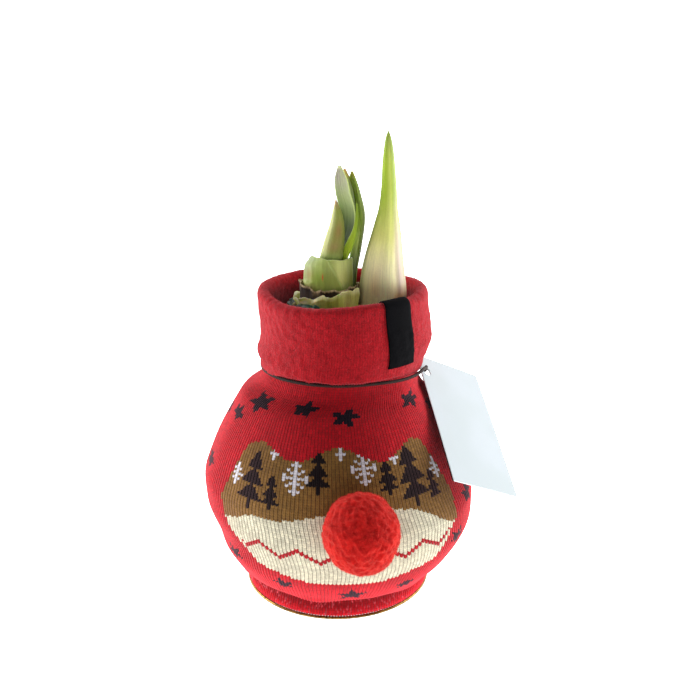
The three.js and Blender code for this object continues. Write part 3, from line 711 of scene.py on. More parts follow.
def fibres(roots, outwards, length, seed):
    """Thin curved fibres of two faces each, which stand on roots and lean over at random."""
    random = np.random.default_rng(seed)
    count = len(roots)
    sideways = random.normal(size=(count, 3))
    sideways = unit(sideways - outwards * np.sum(sideways * outwards, axis=1)[:, None])
    reach = length * random.uniform(0.45, 1.25, count)[:, None]
    curl = FIBRE_LEAN * random.uniform(0.4, 1.3, count)[:, None]
    halfway = roots + outwards * reach * 0.55 + sideways * reach * curl * 0.35
    tip = roots + outwards * reach * (1 - 0.35 * curl) + sideways * reach * curl
    half = np.cross(outwards, sideways) * (FIBRE_WIDTH / 2)
    points = np.stack([roots - half, roots + half, halfway + half * 0.8, halfway - half * 0.8, tip], 1)
    first = np.arange(count)[:, None] * 5
    return points.reshape(-1, 3), (first + [0, 1, 2, 3]).tolist() + (first + [3, 2, 4]).tolist()


def add_fibres(name, piece, material, kept, count, length, seed):
    """Loose fibres on a piece, rooted at random corners of its mesh, where kept says so."""
    vertices = piece.data.vertices
    places = np.empty(len(vertices) * 3)
    vertices.foreach_get("co", places)
    normals = np.array([vertex.vector for vertex in piece.data.vertex_normals])
    places = places.reshape(-1, 3) / MM - AXIS
    allowed = np.flatnonzero(kept(places))
    random = np.random.default_rng(seed)
    picked = random.choice(allowed, min(count, len(allowed)), replace=False)
    roots = places[picked] + random.normal(0, 0.2, (len(picked), 3))
    roots -= normals[picked] * np.sum((roots - places[picked]) * normals[picked], axis=1)[:, None]
    points, faces = fibres(roots, normals[picked], length, seed + 1)
    add_piece(name, points, faces, material)


def fibre_material(name, colour, light):
    graph = Graph(
        name, Roughness=0.85, Sheen_Weight=0.2, Sheen_Tint=(1, 0.4, 0.4, 1), Specular_IOR_Level=0.15,
    )
    patch = graph.noise(graph.place(), 700, 2)
    graph.colour(graph.mix(graph.between(patch, 0.35, 0.65), colour, light))
    return graph.material


def felt_material():
    graph = Graph(
        "red_felt", Roughness=0.95, Sheen_Weight=0.5, Sheen_Roughness=0.5, Sheen_Tint=(1, 0.28, 0.2, 1),
        Specular_IOR_Level=0.1,
    )
    tuft = graph.noise(graph.place(), 230, 5, 0.65)
    strand = graph.noise(graph.place((1, 1, 0.4)), 1300, 4)
    broad = graph.noise(graph.place(), 80, 2)
    red = graph.mix(graph.between(tuft, 0.32, 0.66), rgb(156, 10, 12), rgb(202, 22, 20))
    red = graph.mix(graph.between(strand, 0.58, 0.76, 0, 0.6), red, rgb(222, 50, 40))
    graph.colour(graph.mix(graph.between(broad, 0.35, 0.65, 0, 0.5), red, rgb(150, 10, 14)))
    graph.bump(graph.weighed(tuft, (strand, 0.4)), strength=0.35, distance=0.6)
    return graph.material


def on_front_of_ball(places):
    """Whether places lie well in front of the cover."""
    return places[:, 1] < -54


def add_pompom():
    work = bmesh.new()
    bmesh.ops.create_icosphere(work, subdivisions=7, radius=1.0)
    directions = np.array([vertex.co for vertex in work.verts])
    faces = [[vertex.index for vertex in face.verts] for face in work.faces]
    work.free()
    outline = directions * [POMPOM_RADIUS, POMPOM_RADIUS, POMPOM_HALF_HEIGHT]
    relief = ripples(outline, 21, (0.3, 11), (0.22, 4), (0.1, 1.8))
    points = beyond_cover(outline + directions * (relief - FELT_INSET)[:, None] + POMPOM, GAP)
    ball = add_piece("pompom_ball", points, faces, felt_material(), ["pompom"])
    soft = fibre_material("felt_fibre", rgb(184, 18, 18), rgb(220, 48, 38))
    add_fibres("pompom_fuzz", ball, soft, on_front_of_ball, count=32000, length=0.7, seed=31)


def beyond_cover(points, clearance):
    """Points pushed out of the knitted cover."""
    outside = np.array([row for row in COVER_LINE if row[1] > 44 or row[0] > 14])
    radius = np.interp(points[:, 2], outside[:, 0], outside[:, 1]) + clearance
    across = points[:, 0] - lean(points[:, 2])
    distance = np.hypot(across, points[:, 1])
    push = np.maximum(radius / distance, 1)
    moved = points.copy()
    moved[:, 0] += across * (push - 1)
    moved[:, 1] *= push
    return moved


# The plant.

# The buds: height, x, y, half width and half depth.
TALL_BUD = [
    (125, 18.8, -2, 9.6, 7.4), (131, 18.9, -2, 9.8, 7.6), (138, 19.1, -2, 9.5, 7.4),
    (146.5, 19.1, -1.8, 8.5, 6.9), (154, 19.6, -1.5, 7.3, 6.2), (160, 20.2, -1.2, 6.2, 5.4),
    (166.5, 20.7, -1, 4.9, 4.5), (172, 21, -0.9, 3.8, 3.6), (180, 21.2, -0.8, 3.1, 3),
    (190, 21, -0.8, 2.5, 2.3), (196.5, 20.9, -0.7, 1.85, 1.7), (201, 20.8, -0.7, 1.05, 1),
    (203.4, 20.8, -0.7, 0.2, 0.2),
]
SHORT_BUD = [
    (127.3, -4.9, -3.8, 4.6, 3), (138, -4.4, -3.8, 4.9, 3.2), (150, -3.1, -3.9, 4.7, 3.1),
    (158.8, -1.5, -3.5, 4, 2.9), (165.6, -0.4, -3.2, 2.9, 2.4), (170.8, -0.3, -3, 1.8, 1.6),
    (175.8, -0.8, -3, 0.2, 0.2),
]
# The leaves: x, y, height, half width, the direction of the hollow side and half the angle of the bend.
LEAF_PALE = [
    (-2.6, 2.2, 127.3, 3.4, 246, 24), (-1.6, 2.8, 140, 4, 240, 28), (0.4, 2.3, 152, 4.1, 230, 32),
    (4.5, 2.5, 162, 5, 222, 30), (4.9, 1.7, 170, 4.7, 226, 30), (2.7, 1, 178, 3.8, 236, 30),
    (1.6, 0.6, 184, 2.9, 242, 26), (0.8, 0.4, 189.2, 0.8, 244, 20),
]
LEAF_MIDDLE = [
    (0.9, 3, 127.3, 1.8, 226, 18), (1.2, 3.4, 142, 1.9, 224, 20), (1.9, 3.8, 152, 2.2, 222, 22),
    (4.8, 5.6, 161, 3.1, 216, 26), (6.6, 5.4, 169, 3.4, 212, 26), (5.5, 4, 178, 3.5, 214, 24),
    (4.0, 3.2, 184, 2.5, 215, 22), (2.9, 3, 187.6, 0.5, 215, 20),
]
LEAF_DARK = [
    (6.1, 6.2, 131.5, 2.8, 210, 24), (7.1, 6.2, 143, 4.1, 206, 40), (9.7, 5, 156, 4.5, 195, 52),
    (10.8, 3.6, 168, 4.3, 193, 54), (8.6, 2.8, 178, 4.1, 200, 46), (6.9, 2.6, 183.4, 2.9, 204, 36),
    (5.9, 2.6, 186.6, 0.5, 205, 30),
]
LEAF_BRIGHT = [
    (0.4, -1.6, 127.3, 1.5, 222, 16), (1.1, -2.1, 142, 1.9, 236, 18), (1.8, -2.7, 150, 2.5, 236, 20),
    (4.9, -3.6, 157, 2.0, 228, 22), (7.1, -3.6, 163.5, 1.1, 222, 20), (7.9, -3, 169.5, 0.55, 220, 20),
    (7.9, -2.4, 174, 0.25, 220, 20),
]
LEAF_THICKNESS, LEAF_EDGE_THICKNESS = 1.0, 0.35


def plant_material(name, streak=0.16, gloss=0.58, soft=0.12, ridge=0.35):
    """Living plant skin: fine lengthwise streaks and veins over the painted tint."""
    graph = Graph(name, Specular_IOR_Level=0.12)
    graph.shader.inputs["Subsurface Weight"].default_value = soft
    graph.shader.inputs["Subsurface Radius"].default_value = (0.4, 0.7, 0.15)
    graph.shader.inputs["Subsurface Scale"].default_value = 0.003
    veins = graph.noise(graph.uv((2.6, 0.05, 1)), 1.0, 3)
    fine = graph.noise(graph.uv((9, 0.16, 1)), 1.0, 4)
    speck = graph.noise(graph.place(), 1400, 2)
    shade = graph.product(
        graph.between(veins, 0.3, 0.7, 1 - streak, 1 + streak),
        graph.between(fine, 0.3, 0.7, 1 - streak * 0.6, 1 + streak * 0.6),
        graph.between(speck, 0.3, 0.7, 0.97, 1.03),
    )
    graph.colour(graph.times(graph.tint(), shade))
    graph.rough(graph.between(fine, 0.3, 0.7, gloss - 0.06, gloss + 0.1))
    graph.bump(graph.weighed(veins, (fine, 0.5)), strength=ridge, distance=0.25)
    return graph.material


def add_bud(name, stations, tint, sides=72, rows=110):
    """A pointed bud of two papery valves, whose edges show as a faint ridge on each side."""
    line = smooth_line(stations, np.linspace(0, 1, rows))
    height, x, y, wide, deep = (column[:, None] for column in line.T)
    angle = np.linspace(0, 2 * math.pi, sides, endpoint=False)[None, :]
    share = (height - height[0]) / (height[-1] - height[0])
    ridge = 1 + 0.05 * (bell(np.abs(np.cos(angle)), 1, 0.02) * (share > 0.1))
    wave = 1 + 0.012 * np.sin(9 * angle + 3 * share) + 0.008 * np.sin(17 * angle + 1)
    size = ridge * wave
    points = np.stack(
        np.broadcast_arrays(x + wide * size * np.cos(angle), y + deep * size * np.sin(angle), height), -1
    )
    faces = grid_faces(rows, sides, wraps_columns=True).tolist()
    faces.append(list(range((rows - 1) * sides, rows * sides)))
    uvs = np.vstack([grid_uvs(rows - 1, sides, 0.5, 0.8), np.zeros((sides, 2))])
    add_piece(
        name + "_valves", points.reshape(-1, 3), faces, plant_material(name + "_skin", streak=0.09),
        [name], uvs, tint(np.cos(angle), share, height).reshape(-1, 4), turn_out=True,
    )


def tall_bud_tint(right, share, height):
    """Green above, yellow-green down the middle, and cream flushed with pink towards the right foot; painted
    light makes the foot's front paler still.
    """
    low = 1 - ease(0.28, 0.72, share)
    return blend_colours(
        rgb(156, 178, 48),
        (ease(0.1, -0.95, right) * 0.4, rgb(126, 152, 46)),
        (ease(0.25, 0.85, right) * 0.8, rgb(158, 174, 106)),
        (ease(0.8, 1, share) * 0.8, rgb(124, 142, 62)),
        (low * 0.9, rgb(234, 222, 146)),
        (bell(right, 0.12 + 0.2 * low, 0.34) * (0.35 + 0.5 * low), rgb(228, 230, 138)),
        (ease(0.35, 0.75, right) * low * 0.9, rgb(188, 178, 152)),
        (bell(right, 0.78, 0.18) * low * 0.7, rgb(206, 186, 176)),
        # Painted light: the foot's front is painted near white, against the shade of the knitted collar.
        ((1 - ease(0.24, 0.48, share)) * (1 - ease(0.4, 0.8, right)) * 0.95, rgb(255, 248, 196)),
        (bell(right, -0.4, 0.3) * bell(height, 141, 7) * 0.6, rgb(236, 204, 150)),
        (bell(right, 0.72, 0.3) * bell(height, 134.5, 4) * 0.8, rgb(194, 150, 92)),
        (ease(0.88, 1.0, share) * 0.5, rgb(136, 156, 72)),
        (ease(-0.85, -1, right) * 0.35, rgb(116, 134, 60)),
    )


def short_bud_tint(right, share, height):
    """Pale green with a light left edge and a pink-brown flush."""
    return blend_colours(
        rgb(140, 148, 72),
        (ease(0, -0.9, right) * 0.85, rgb(190, 192, 136)),
        (bell(height, 163, 4) * bell(right, 0.35, 0.5) * 0.8, rgb(150, 118, 70)),
        (bell(height, 156.5, 2.4) * bell(right, 0.1, 0.6) * 0.6, rgb(160, 130, 84)),
        (1 - ease(148, 156, height), rgb(160, 182, 106)),
        (ease(0.9, 1, share) * 0.8, rgb(190, 146, 122)),
        (ease(0.2, 0.9, right) * 0.35, rgb(116, 122, 56)),
    )


def add_leaf(name, stations, tint, rows=96, across=22):
    """A strap leaf bent round its middle line, thin at its edges."""
    stations = np.array(stations, float)
    places = np.linspace(0, 1, rows)
    centre = smooth_line(stations[:, :3], places)[:, None, :]
    half, facing, bend = smooth_line(stations[:, 3:], places).T
    facing, bend = np.radians(facing), np.radians(bend)
    hollow = np.stack([np.cos(facing), np.sin(facing), np.zeros(rows)], 1)[:, None, :]
    sideways = np.stack([-np.sin(facing), np.cos(facing), np.zeros(rows)], 1)[:, None, :]
    reach = (half / np.sin(bend))[:, None, None]
    place = np.linspace(-1, 1, across)
    angle = place[None, :] * bend[:, None]
    sine, cosine = np.sin(angle)[..., None], np.cos(angle)[..., None]
    middle = centre + sideways * reach * sine + hollow * reach * (1 - cosine)
    normal = hollow * cosine - sideways * sine
    to_edge = (1 - place ** 2)[None, :, None]
    thick = (LEAF_EDGE_THICKNESS + (LEAF_THICKNESS - LEAF_EDGE_THICKNESS) * to_edge) / 2
    half_body = thick + 0.07 * np.sin(place * 16)[None, :, None] * to_edge
    rolled = 0.25 * ripple(middle, size=26, seed=len(stations))[..., None] * (places[:, None, None] > 0.35)
    back = middle - normal * (half_body - rolled)
    front = middle + normal * (half_body + rolled)
    points = np.concatenate([back, front[:, ::-1]], 1)
    over, side = np.broadcast_arrays(places[:, None], place[None, :])
    colours = np.concatenate([tint(side, over, False), tint(side, over, True)[:, ::-1]], 1)
    add_piece(
        name + "_blade", points.reshape(-1, 3), capped_tube(rows, 2 * across),
        plant_material(name + "_skin"), [name], capped_uvs(rows, 2 * across, 0.45, 0.7),
        colours.reshape(-1, 4), turn_out=True,
    )


def leaf_pale_tint(side, along, hollow_side):
    """Silver at the tip, grey-green below and dark green low down, with a light edge at the right; the dark
    green low down is painted shade and the silvery upper left edge is painted light.
    """
    return blend_colours(
        rgb(110, 130, 62),
        (ease(0.45, 0.72, along), rgb(142, 154, 104)),
        (ease(0.66, 0.9, along), rgb(154, 150, 132)),
        (ease(0.7, 0.95, along) * bell(side, 0.3, 0.4) * 0.4, rgb(168, 182, 120)),
        (ease(0.95, 1, along), rgb(206, 214, 166)),
        # Painted shade: dark green low down, where the leaf lies in shadow.
        (1 - ease(0.4, 0.7, along), rgb(42, 56, 8)),
        (ease(0.84, 1, side) * ease(0.2, 0.4, along) * 0.9, rgb(200, 216, 134)),
        # Painted light: the upper left edge is painted silvery where it faces the light.
        (ease(0.88, 1, -side) * ease(0.5, 0.7, along) * 0.5, rgb(204, 208, 170)),
    )


def leaf_middle_tint(side, along, hollow_side):
    """Olive with a brown tip."""
    return blend_colours(
        rgb(96, 112, 28),
        (ease(0.8, 0.95, along), rgb(156, 136, 56)),
        (ease(0.95, 1, along), rgb(176, 130, 84)),
        (1 - ease(0.4, 0.75, along), rgb(58, 78, 22)),
    )


def leaf_dark_tint(side, along, hollow_side):
    """Dark green with an olive tip; the hollow side is painted lighter as painted light, and the light lines
    along its near and far edges are painted highlights.
    """
    near_edge_highlight = ease(0.82, 1, side) * ease(0.1, 0.3, along) * (1 - ease(0.8, 0.95, along))
    return blend_colours(
        # Painted light: the hollow side is painted lighter where it lies in shade.
        rgb(172, 188, 60) if hollow_side else rgb(100, 116, 36),
        (ease(0.75, 0.97, along), rgb(158, 160, 54)),
        (1 - ease(0.2, 0.5, along), rgb(74, 88, 14)),
        # Painted highlights: light lines along the near edge and the far edge.
        (near_edge_highlight * 0.7, rgb(144, 166, 80)),
        (ease(0.85, 1, -side) * 0.5, rgb(150, 176, 90)),
    )


def leaf_bright_tint(side, along, hollow_side):
    """Bright yellow-green."""
    return blend_colours(
        rgb(186, 210, 62),
        (ease(0.5, 1, -side) * 0.9, rgb(200, 218, 110)),
        (ease(0.8, 1, side) * 0.5, rgb(120, 150, 40)),
        (ease(0.45, 0.9, along) * 0.7, rgb(112, 138, 46)),
    )


def torn_edge(angle, teeth, rise, seed):
    """A ragged rim: random teeth along the angle, in radians."""
    random = np.random.default_rng(seed)
    places = np.sort(random.uniform(0, 2 * math.pi, teeth))
    heights = random.uniform(-1, 1, teeth)
    return rise * np.interp(np.mod(angle, 2 * math.pi), places, heights, period=2 * math.pi)


BUNCH_X, BUNCH_Y = -4.3, -1
BAND_FOOT = NECK_TOP + GAP


def add_band(name, angles, top, outside_at, wall_at, tint, material, rows):
    """A standing skin round the bunch, with a rounded rim, shaped by functions of angle and height."""
    whole = angles[-1] - angles[0] > 2 * math.pi - 0.2
    up = np.linspace(0, 1, rows)[:, None]
    height = BAND_FOOT + (top[None, :] - BAND_FOOT) * up
    wall = wall_at(up) * (1 - 0.45 * ease(0.94, 1, up))
    x, y = outside_at(angles[None, :], up)

    def layer(depth, lift=0.0):
        """The skin's rows at a depth in it, and lifted, both as shares of its thickness."""
        inward = depth * wall
        return np.stack([x - inward * np.cos(angles), y - inward * np.sin(angles), height + lift * wall], -1)

    points = np.concatenate([layer(0), layer(0.5, 0.35)[-1:], layer(1)[::-1]])
    columns = len(angles)
    faces = grid_faces(len(points), columns, wraps_columns=whole, wraps_rows=True).tolist()
    uvs = [grid_uvs(len(points), columns if whole else columns - 1, 0.35, 0.9)]
    if not whole:
        faces.extend([row * columns + column for row in range(len(points))] for column in (0, columns - 1))
        uvs.append(np.zeros((2 * len(points), 2)))
    share = np.concatenate([up, [[1.0]], up[::-1]])
    inner = np.concatenate([np.zeros(rows), [0.5], np.ones(rows)])[:, None]
    colours = tint(angles[None, :], share, inner, points[..., 2])
    add_piece(
        name + "_skin", points.reshape(-1, 3), faces, material, [name], np.vstack(uvs),
        colours.reshape(-1, 4), turn_out=True,
    )


def rim_rows(*rows):
    """The heights of a torn rim, as rows of (angle in radians, height), from rows with angles in degrees."""
    return [(math.radians(angle), height) for angle, height in rows]


TUNIC_RIM = rim_rows(
    (0, 139.6), (20, 138.6), (90, 138.6), (150, 139.6), (193, 141.2), (218, 140.3), (245, 139.1),
    (272, 139.1), (291, 139.6), (313, 139.8), (360, 139.6),
)
SCALE_RIM = rim_rows(
    (38, 137), (120, 134.5), (184, 133.2), (213, 135.8), (243, 136.2), (255, 137.6), (272, 137.7),
    (289, 139.4), (304, 140), (326, 139.4),
)


def add_collar():
    """The cut leaf bases, one lapped over the other along a slanting edge at the front."""
    angles = np.linspace(0, 2 * math.pi, 300, endpoint=False)
    lap_start, lap_slant = math.radians(270), math.radians(62)

    def outside_at(angle, up):
        edge = lap_start + lap_slant * (1 - up)
        lapped = ease(0, math.radians(3), angle - edge)
        lapped *= 1 - ease(math.radians(336), math.radians(358), angle)
        bulge = 0.3 * np.sin(math.pi * up) * np.maximum(0, np.cos(angle - math.radians(205)))
        stub = 1.0 * bell(angle, math.radians(218), 0.3) * (1 - ease(0.48, 0.54, up))
        crease = 0.25 * np.sin(11 * angle + 2 * up) + 0.12 * np.sin(23 * angle + 5 * up)
        rolled = 1.9 * ease(0.8, 1, up) ** 1.5 * np.maximum(0, np.cos(angle - math.radians(215)))
        taper = 0.9 * up * up * np.maximum(0, -np.cos(angle))
        out = 0.8 * (0.5 - lapped) + bulge + stub + 0.35 * crease - taper - rolled
        return BUNCH_X + (10.1 + out) * np.cos(angle), BUNCH_Y + (9.4 + out) * np.sin(angle)

    def tint(angle, up, inner, height):
        edge = lap_start + lap_slant * (1 - up)
        # Painted highlight along the overlapping edge, and painted shade just beside it on the flap beneath.
        lap_edge_highlight = bell(angle, edge - 0.02, 0.03) * (1 - inner)
        lap_shade = bell(angle, edge + 0.05, 0.04) * (1 - inner)
        # The right flap is yellower, with a painted highlight over it.
        right_flap_tone_and_highlight = ease(0, 0.1, angle - edge) * bell(up, 0.6, 0.5) * bell(angle, math.radians(305), 0.5)
        red_mark = bell(angle, math.radians(259), 0.028) * bell(height, 144.6, 1.3) * (1 - inner)
        return blend_colours(
            rgb(160, 171, 88),
            (bell(angle, math.radians(250), 0.35) * bell(up, 0.6, 0.25) * 0.7, rgb(136, 162, 60)),
            (ease(0.62, 1, up) * 0.4, rgb(178, 192, 116)),
            (ease(0.6, 1, up) * bell(angle, math.radians(205), 0.6) * 0.9, rgb(160, 172, 134)),
            (right_flap_tone_and_highlight * 0.8, rgb(228, 232, 146)),
            (bell(angle, math.radians(218), 0.24) * bell(up, 0.66, 0.12) * 0.9, rgb(150, 130, 72)),
            (bell(angle, math.radians(220), 0.34) * (1 - ease(0.42, 0.52, up)) * 0.8, rgb(166, 160, 92)),
            # Painted shade: the left side is painted darker.
            (ease(-0.5, -1, np.cos(angle)) * (1 - inner) * 0.5, rgb(116, 126, 82)),
            (lap_edge_highlight * 0.5, rgb(190, 204, 128)),
            (lap_shade * 0.35, rgb(112, 134, 52)),
            (red_mark, rgb(204, 74, 40)),
            ((1 - ease(0.0, 0.3, up)) * 0.5, rgb(170, 172, 92)),
            ((inner > 0.2) * (inner < 0.8) * 0.8, rgb(208, 218, 164)),
        )

    top = 151.2 + 0.5 * np.sin(2 * angles + 0.6) - 0.7 * np.sin(angles + 0.5) + 0.15 * np.sin(9 * angles)
    top -= 2.2 * bell(angles, math.radians(140), math.radians(45))
    top -= 2.2 * np.maximum(0, np.cos(angles - math.radians(38))) ** 6
    material = plant_material("cut_leaf_bases", streak=0.08, gloss=0.4, soft=0.2, ridge=0.25)
    add_band("neck_collar", angles, top, outside_at, lambda up: 1.7 - 0.4 * up, tint, material, rows=40)


def beside_tall_bud(x, y, clearance):
    """How far right something beside the tall bud reaches at a depth, clear of its foot."""
    _, bud_x, bud_y, wide, deep = TALL_BUD[1]
    across = np.clip((y - bud_y) / (deep + clearance), -1, 1)
    limit = bud_x - (wide + clearance) * np.sqrt(1 - across ** 2)
    return np.where(np.abs(across) >= 1, x, np.minimum(x, limit))


def papery_material():
    graph = Graph("dry_skin", Roughness=0.75, Specular_IOR_Level=0.3)
    veins = graph.noise(graph.uv((2.4, 0.06, 1)), 1.0, 4, 0.65)
    flakes = graph.noise(graph.place(), 420, 5, 0.7)
    shade = graph.product(
        graph.between(veins, 0.3, 0.7, 0.6, 1.35), graph.between(flakes, 0.35, 0.65, 0.7, 1.25)
    )
    graph.colour(graph.times(graph.tint(), shade))
    graph.bump(graph.maths("ADD", veins, flakes), strength=0.7, distance=0.4)
    return graph.material


def add_tunic():
    """The brown papery skin, torn all round, with its pale edge curling out."""
    angles = np.linspace(0, 2 * math.pi, 420, endpoint=False)

    def outside_at(angle, up):
        wave = 0.35 * np.sin(5 * angle + 1) + 0.25 * np.sin(9 * angle) + 0.2 * np.sin(21 * angle + 2)
        bulge = 1.7 * bell(angle, math.radians(42), 0.4)
        out = 12.9 + bulge + wave * up + 0.5 * ease(0.75, 1, up) * np.sin(7 * angle + 0.5)
        y = BUNCH_Y + 0.2 + (out - 0.6) * np.sin(angle)
        return beside_tall_bud(BUNCH_X + 0.6 + out * np.cos(angle), y, 2 * GAP), y

    def tint(angle, up, inner, height):
        return blend_colours(
            rgb(46, 30, 24),
            (ease(0.86, 0.97, up) * 0.9, rgb(186, 164, 124)),
            (bell(np.sin(6 * angle + 1), 1, 0.4) * ease(0.5, 0.9, up) * 0.4, rgb(150, 122, 84)),
            (inner * 0.35, rgb(110, 84, 60)),
        )

    top = np.interp(angles, *zip(*TUNIC_RIM))
    top += 0.3 * np.sin(7 * angles + 0.4) + 0.25 * np.sin(13 * angles)
    top += torn_edge(angles, teeth=90, rise=0.4, seed=41) + torn_edge(angles, teeth=260, rise=0.2, seed=42)
    add_band("dry_tunic", angles, top, outside_at, lambda up: 0.4, tint, papery_material(), rows=26)


def add_scale():
    """The fleshy outer scale, torn and folded over, open towards the tall bud."""
    angles = np.radians(np.linspace(38, 326, 380))

    def outside_at(angle, up):
        wave = 0.3 * np.sin(4 * angle + 2) + 0.3 * np.sin(7 * angle) + 0.18 * np.sin(19 * angle)
        bulge = 2 * bell(angle, math.radians(38), 0.5)
        curl = 0.8 * ease(0.7, 1, up) * np.sin(5 * angle + 1.4)
        out = 14.6 + bulge + (1.1 + wave) * up + curl
        return BUNCH_X + 0.6 + out * np.cos(angle), BUNCH_Y + out * np.sin(angle)

    def tint(angle, up, inner, height):
        # Painted shade: darker bands stand for shade in the scale's folds.
        painted_fold_shade = 0.5 + 0.5 * np.sin(9 * angle + 4 * up)
        return blend_colours(
            rgb(204, 204, 112),
            (painted_fold_shade * 0.45, rgb(166, 172, 66)),
            (ease(0.6, 0.95, up) * 0.85, rgb(232, 228, 178)),
            (bell(angle, math.radians(225), 0.4) * 0.7, rgb(230, 228, 186)),
            (bell(angle, math.radians(310), 0.3) * 0.6, rgb(186, 176, 106)),
            (bell(np.sin(13 * angle + 2), 1, 0.3) * (1 - ease(0, 0.5, up)) * 0.5, rgb(150, 96, 60)),
        )

    top = np.interp(angles, *zip(*SCALE_RIM)) + 0.3 * np.sin(11 * angles + 2)
    top += torn_edge(angles, teeth=60, rise=0.45, seed=51) + torn_edge(angles, teeth=200, rise=0.18, seed=52)
    material = plant_material("torn_scale", streak=0.14, gloss=0.38, soft=0.3, ridge=0.6)
    add_band("outer_scale", angles, top, outside_at, lambda up: 0.9 - 0.5 * up, tint, material, rows=24)


def add_turned(name, slot, rows, relief, material, spacing, sides, shaped=None):
    """A form turned round the leaning axis, with its relief pushed outwards, and then shaped."""
    line = even_line(rows, spacing)
    tangent = unit(np.gradient(line, axis=0))
    angle = np.linspace(0, 2 * math.pi, sides, endpoint=False)[None, :]

    def places(height, radius):
        return np.stack(np.broadcast_arrays(radius * np.cos(angle), radius * np.sin(angle), height), -1)

    height, radius = line[:, :1], line[:, 1:]
    raised = relief(places(height, radius))
    radius = np.maximum(radius + tangent[:, :1] * raised, 0.02)
    points = places(height - tangent[:, 1:] * raised, radius)
    if shaped:
        points = shaped(points)
    points[..., 0] += lean(points[..., 2])
    add_piece(
        name, points.reshape(-1, 3), capped_tube(len(line), sides), material, [slot],
        capped_uvs(len(line), sides), turn_out=True,
    )


def wax_material():
    graph = Graph("green_wax", Specular_IOR_Level=0.15, Coat_Weight=0.03, Coat_Roughness=0.2)
    cloud = graph.noise(graph.place(), 220, 4)
    fine = graph.noise(graph.place(), 1200, 3)
    green = graph.mix(graph.between(cloud, 0.35, 0.65), rgb(1, 26, 14), rgb(4, 64, 38))
    graph.colour(graph.mix(graph.between(cloud, 0.62, 0.78), green, rgb(24, 106, 66)))
    graph.rough(graph.between(fine, 0.3, 0.7, 0.2, 0.42))
    graph.bump(graph.weighed(cloud, (fine, 0.15)), strength=0.5, distance=0.8)
    return graph.material


def add_wax():
    rows = [
        (8.8, 1), (8.0, 10), (7.6, 20), (9.4, 29), (13, 37.5), (18, 45), (24, 52.2), (31, 55.2), (38, 57.3),
        (46, 58.1), (54, 57.1), (70, 51.3), (86, 42), (92, 37.6), (96, 34.9), (100, 33.3), (104, 32.6),
        (110, 31.4), (117, 29.8), (124, 27.6), (128.5, 25.4), (130.8, 24.2), (131.6, 23.4), (131.2, 22.8),
        (130.2, 22.6),
    ]

    def lumps(points):
        top = ease(118, 128, points[..., 2])
        return top * (ripples(points, 61, (0.45, 7), (0.25, 3)) - 0.1) - 0.15

    def with_run(points):
        """A thick run of wax at the front left laps up against the scale."""
        turn = np.degrees(np.arctan2(points[..., 0], -points[..., 1]))
        lobe = (bell(turn, -38, 26) * ease(127, 131, points[..., 2]))[..., None]
        return points * (1 - [0.13, 0.13, 0] * lobe) + [0, 0, 3.0] * lobe

    add_turned("wax_skin", "wax_coat", rows, lumps, wax_material(), spacing=1.1, sides=220, shaped=with_run)


def add_bulb():
    graph = Graph("bulb_flesh", Roughness=0.7, Specular_IOR_Level=0.3)
    rings = graph.noise(graph.place((1, 1, 0.3)), 500, 4, 0.65)
    brown = graph.mix(graph.between(rings, 0.35, 0.6), rgb(92, 70, 44), rgb(160, 146, 92))
    graph.colour(graph.mix(graph.between(rings, 0.6, 0.75), brown, rgb(190, 184, 130)))
    graph.bump(rings, strength=0.7, distance=0.8)
    rows = [
        (9.5, 1), (9.4, 18), (11, 28), (18, 43), (46, 56.2), (86, 39.4), (96, 33.2), (110, 29.6), (124, 26),
        (129.6, 22.4), (131, 20.6), (131.2, 14), (131.1, 1),
    ]

    def lumps(points):
        return 0.3 * ripple(points, size=5, seed=71) * ease(120, 128, points[..., 2]) - 0.1

    add_turned("bulb_body", "bulb", rows, lumps, graph.material, spacing=1.6, sides=140)


# The wire, the cord, the label and the tag.

def tube(path, radius, sides, closed_loop=False):
    """Points and faces of a round tube along a path. The radius may change along and round it."""
    path = np.asarray(path, float)
    if closed_loop:
        travel = np.roll(path, -1, axis=0) - np.roll(path, 1, axis=0)
    else:
        travel = np.gradient(path, axis=0)
    travel = unit(travel)
    sideways = unit(np.cross(travel, [0, 0, 1.0]))
    over = np.cross(sideways, travel)[:, None, :]
    angle = np.linspace(0, 2 * math.pi, sides, endpoint=False)[None, :, None]
    radius = np.broadcast_to(radius, (len(path), sides))[..., None]
    points = path[:, None, :] + radius * (sideways[:, None, :] * np.cos(angle) + over * np.sin(angle))
    if closed_loop:
        faces = grid_faces(len(path), sides, wraps_columns=True, wraps_rows=True).tolist()
    else:
        faces = capped_tube(len(path), sides)
    return points.reshape(-1, 3), faces


def joined(*parts):
    """Several (points, faces) as one."""
    points, faces, start = [], [], 0
    for part_points, part_faces in parts:
        points.append(part_points)
        faces.extend([[start + corner for corner in face] for face in part_faces])
        start += len(part_points)
    return np.vstack(points), faces


WIRE_RADIUS = 0.67
RING_RADIUS, RING_SHIFT, RING_HEIGHT = 41.7, -0.6, 0.68
COIL_OUTER, COIL_INNER, COIL_TURNS = 41.6, 9, 2.5
COIL_START, COIL_FOOT, COIL_RISE = math.radians(60), 0.8, 5.4


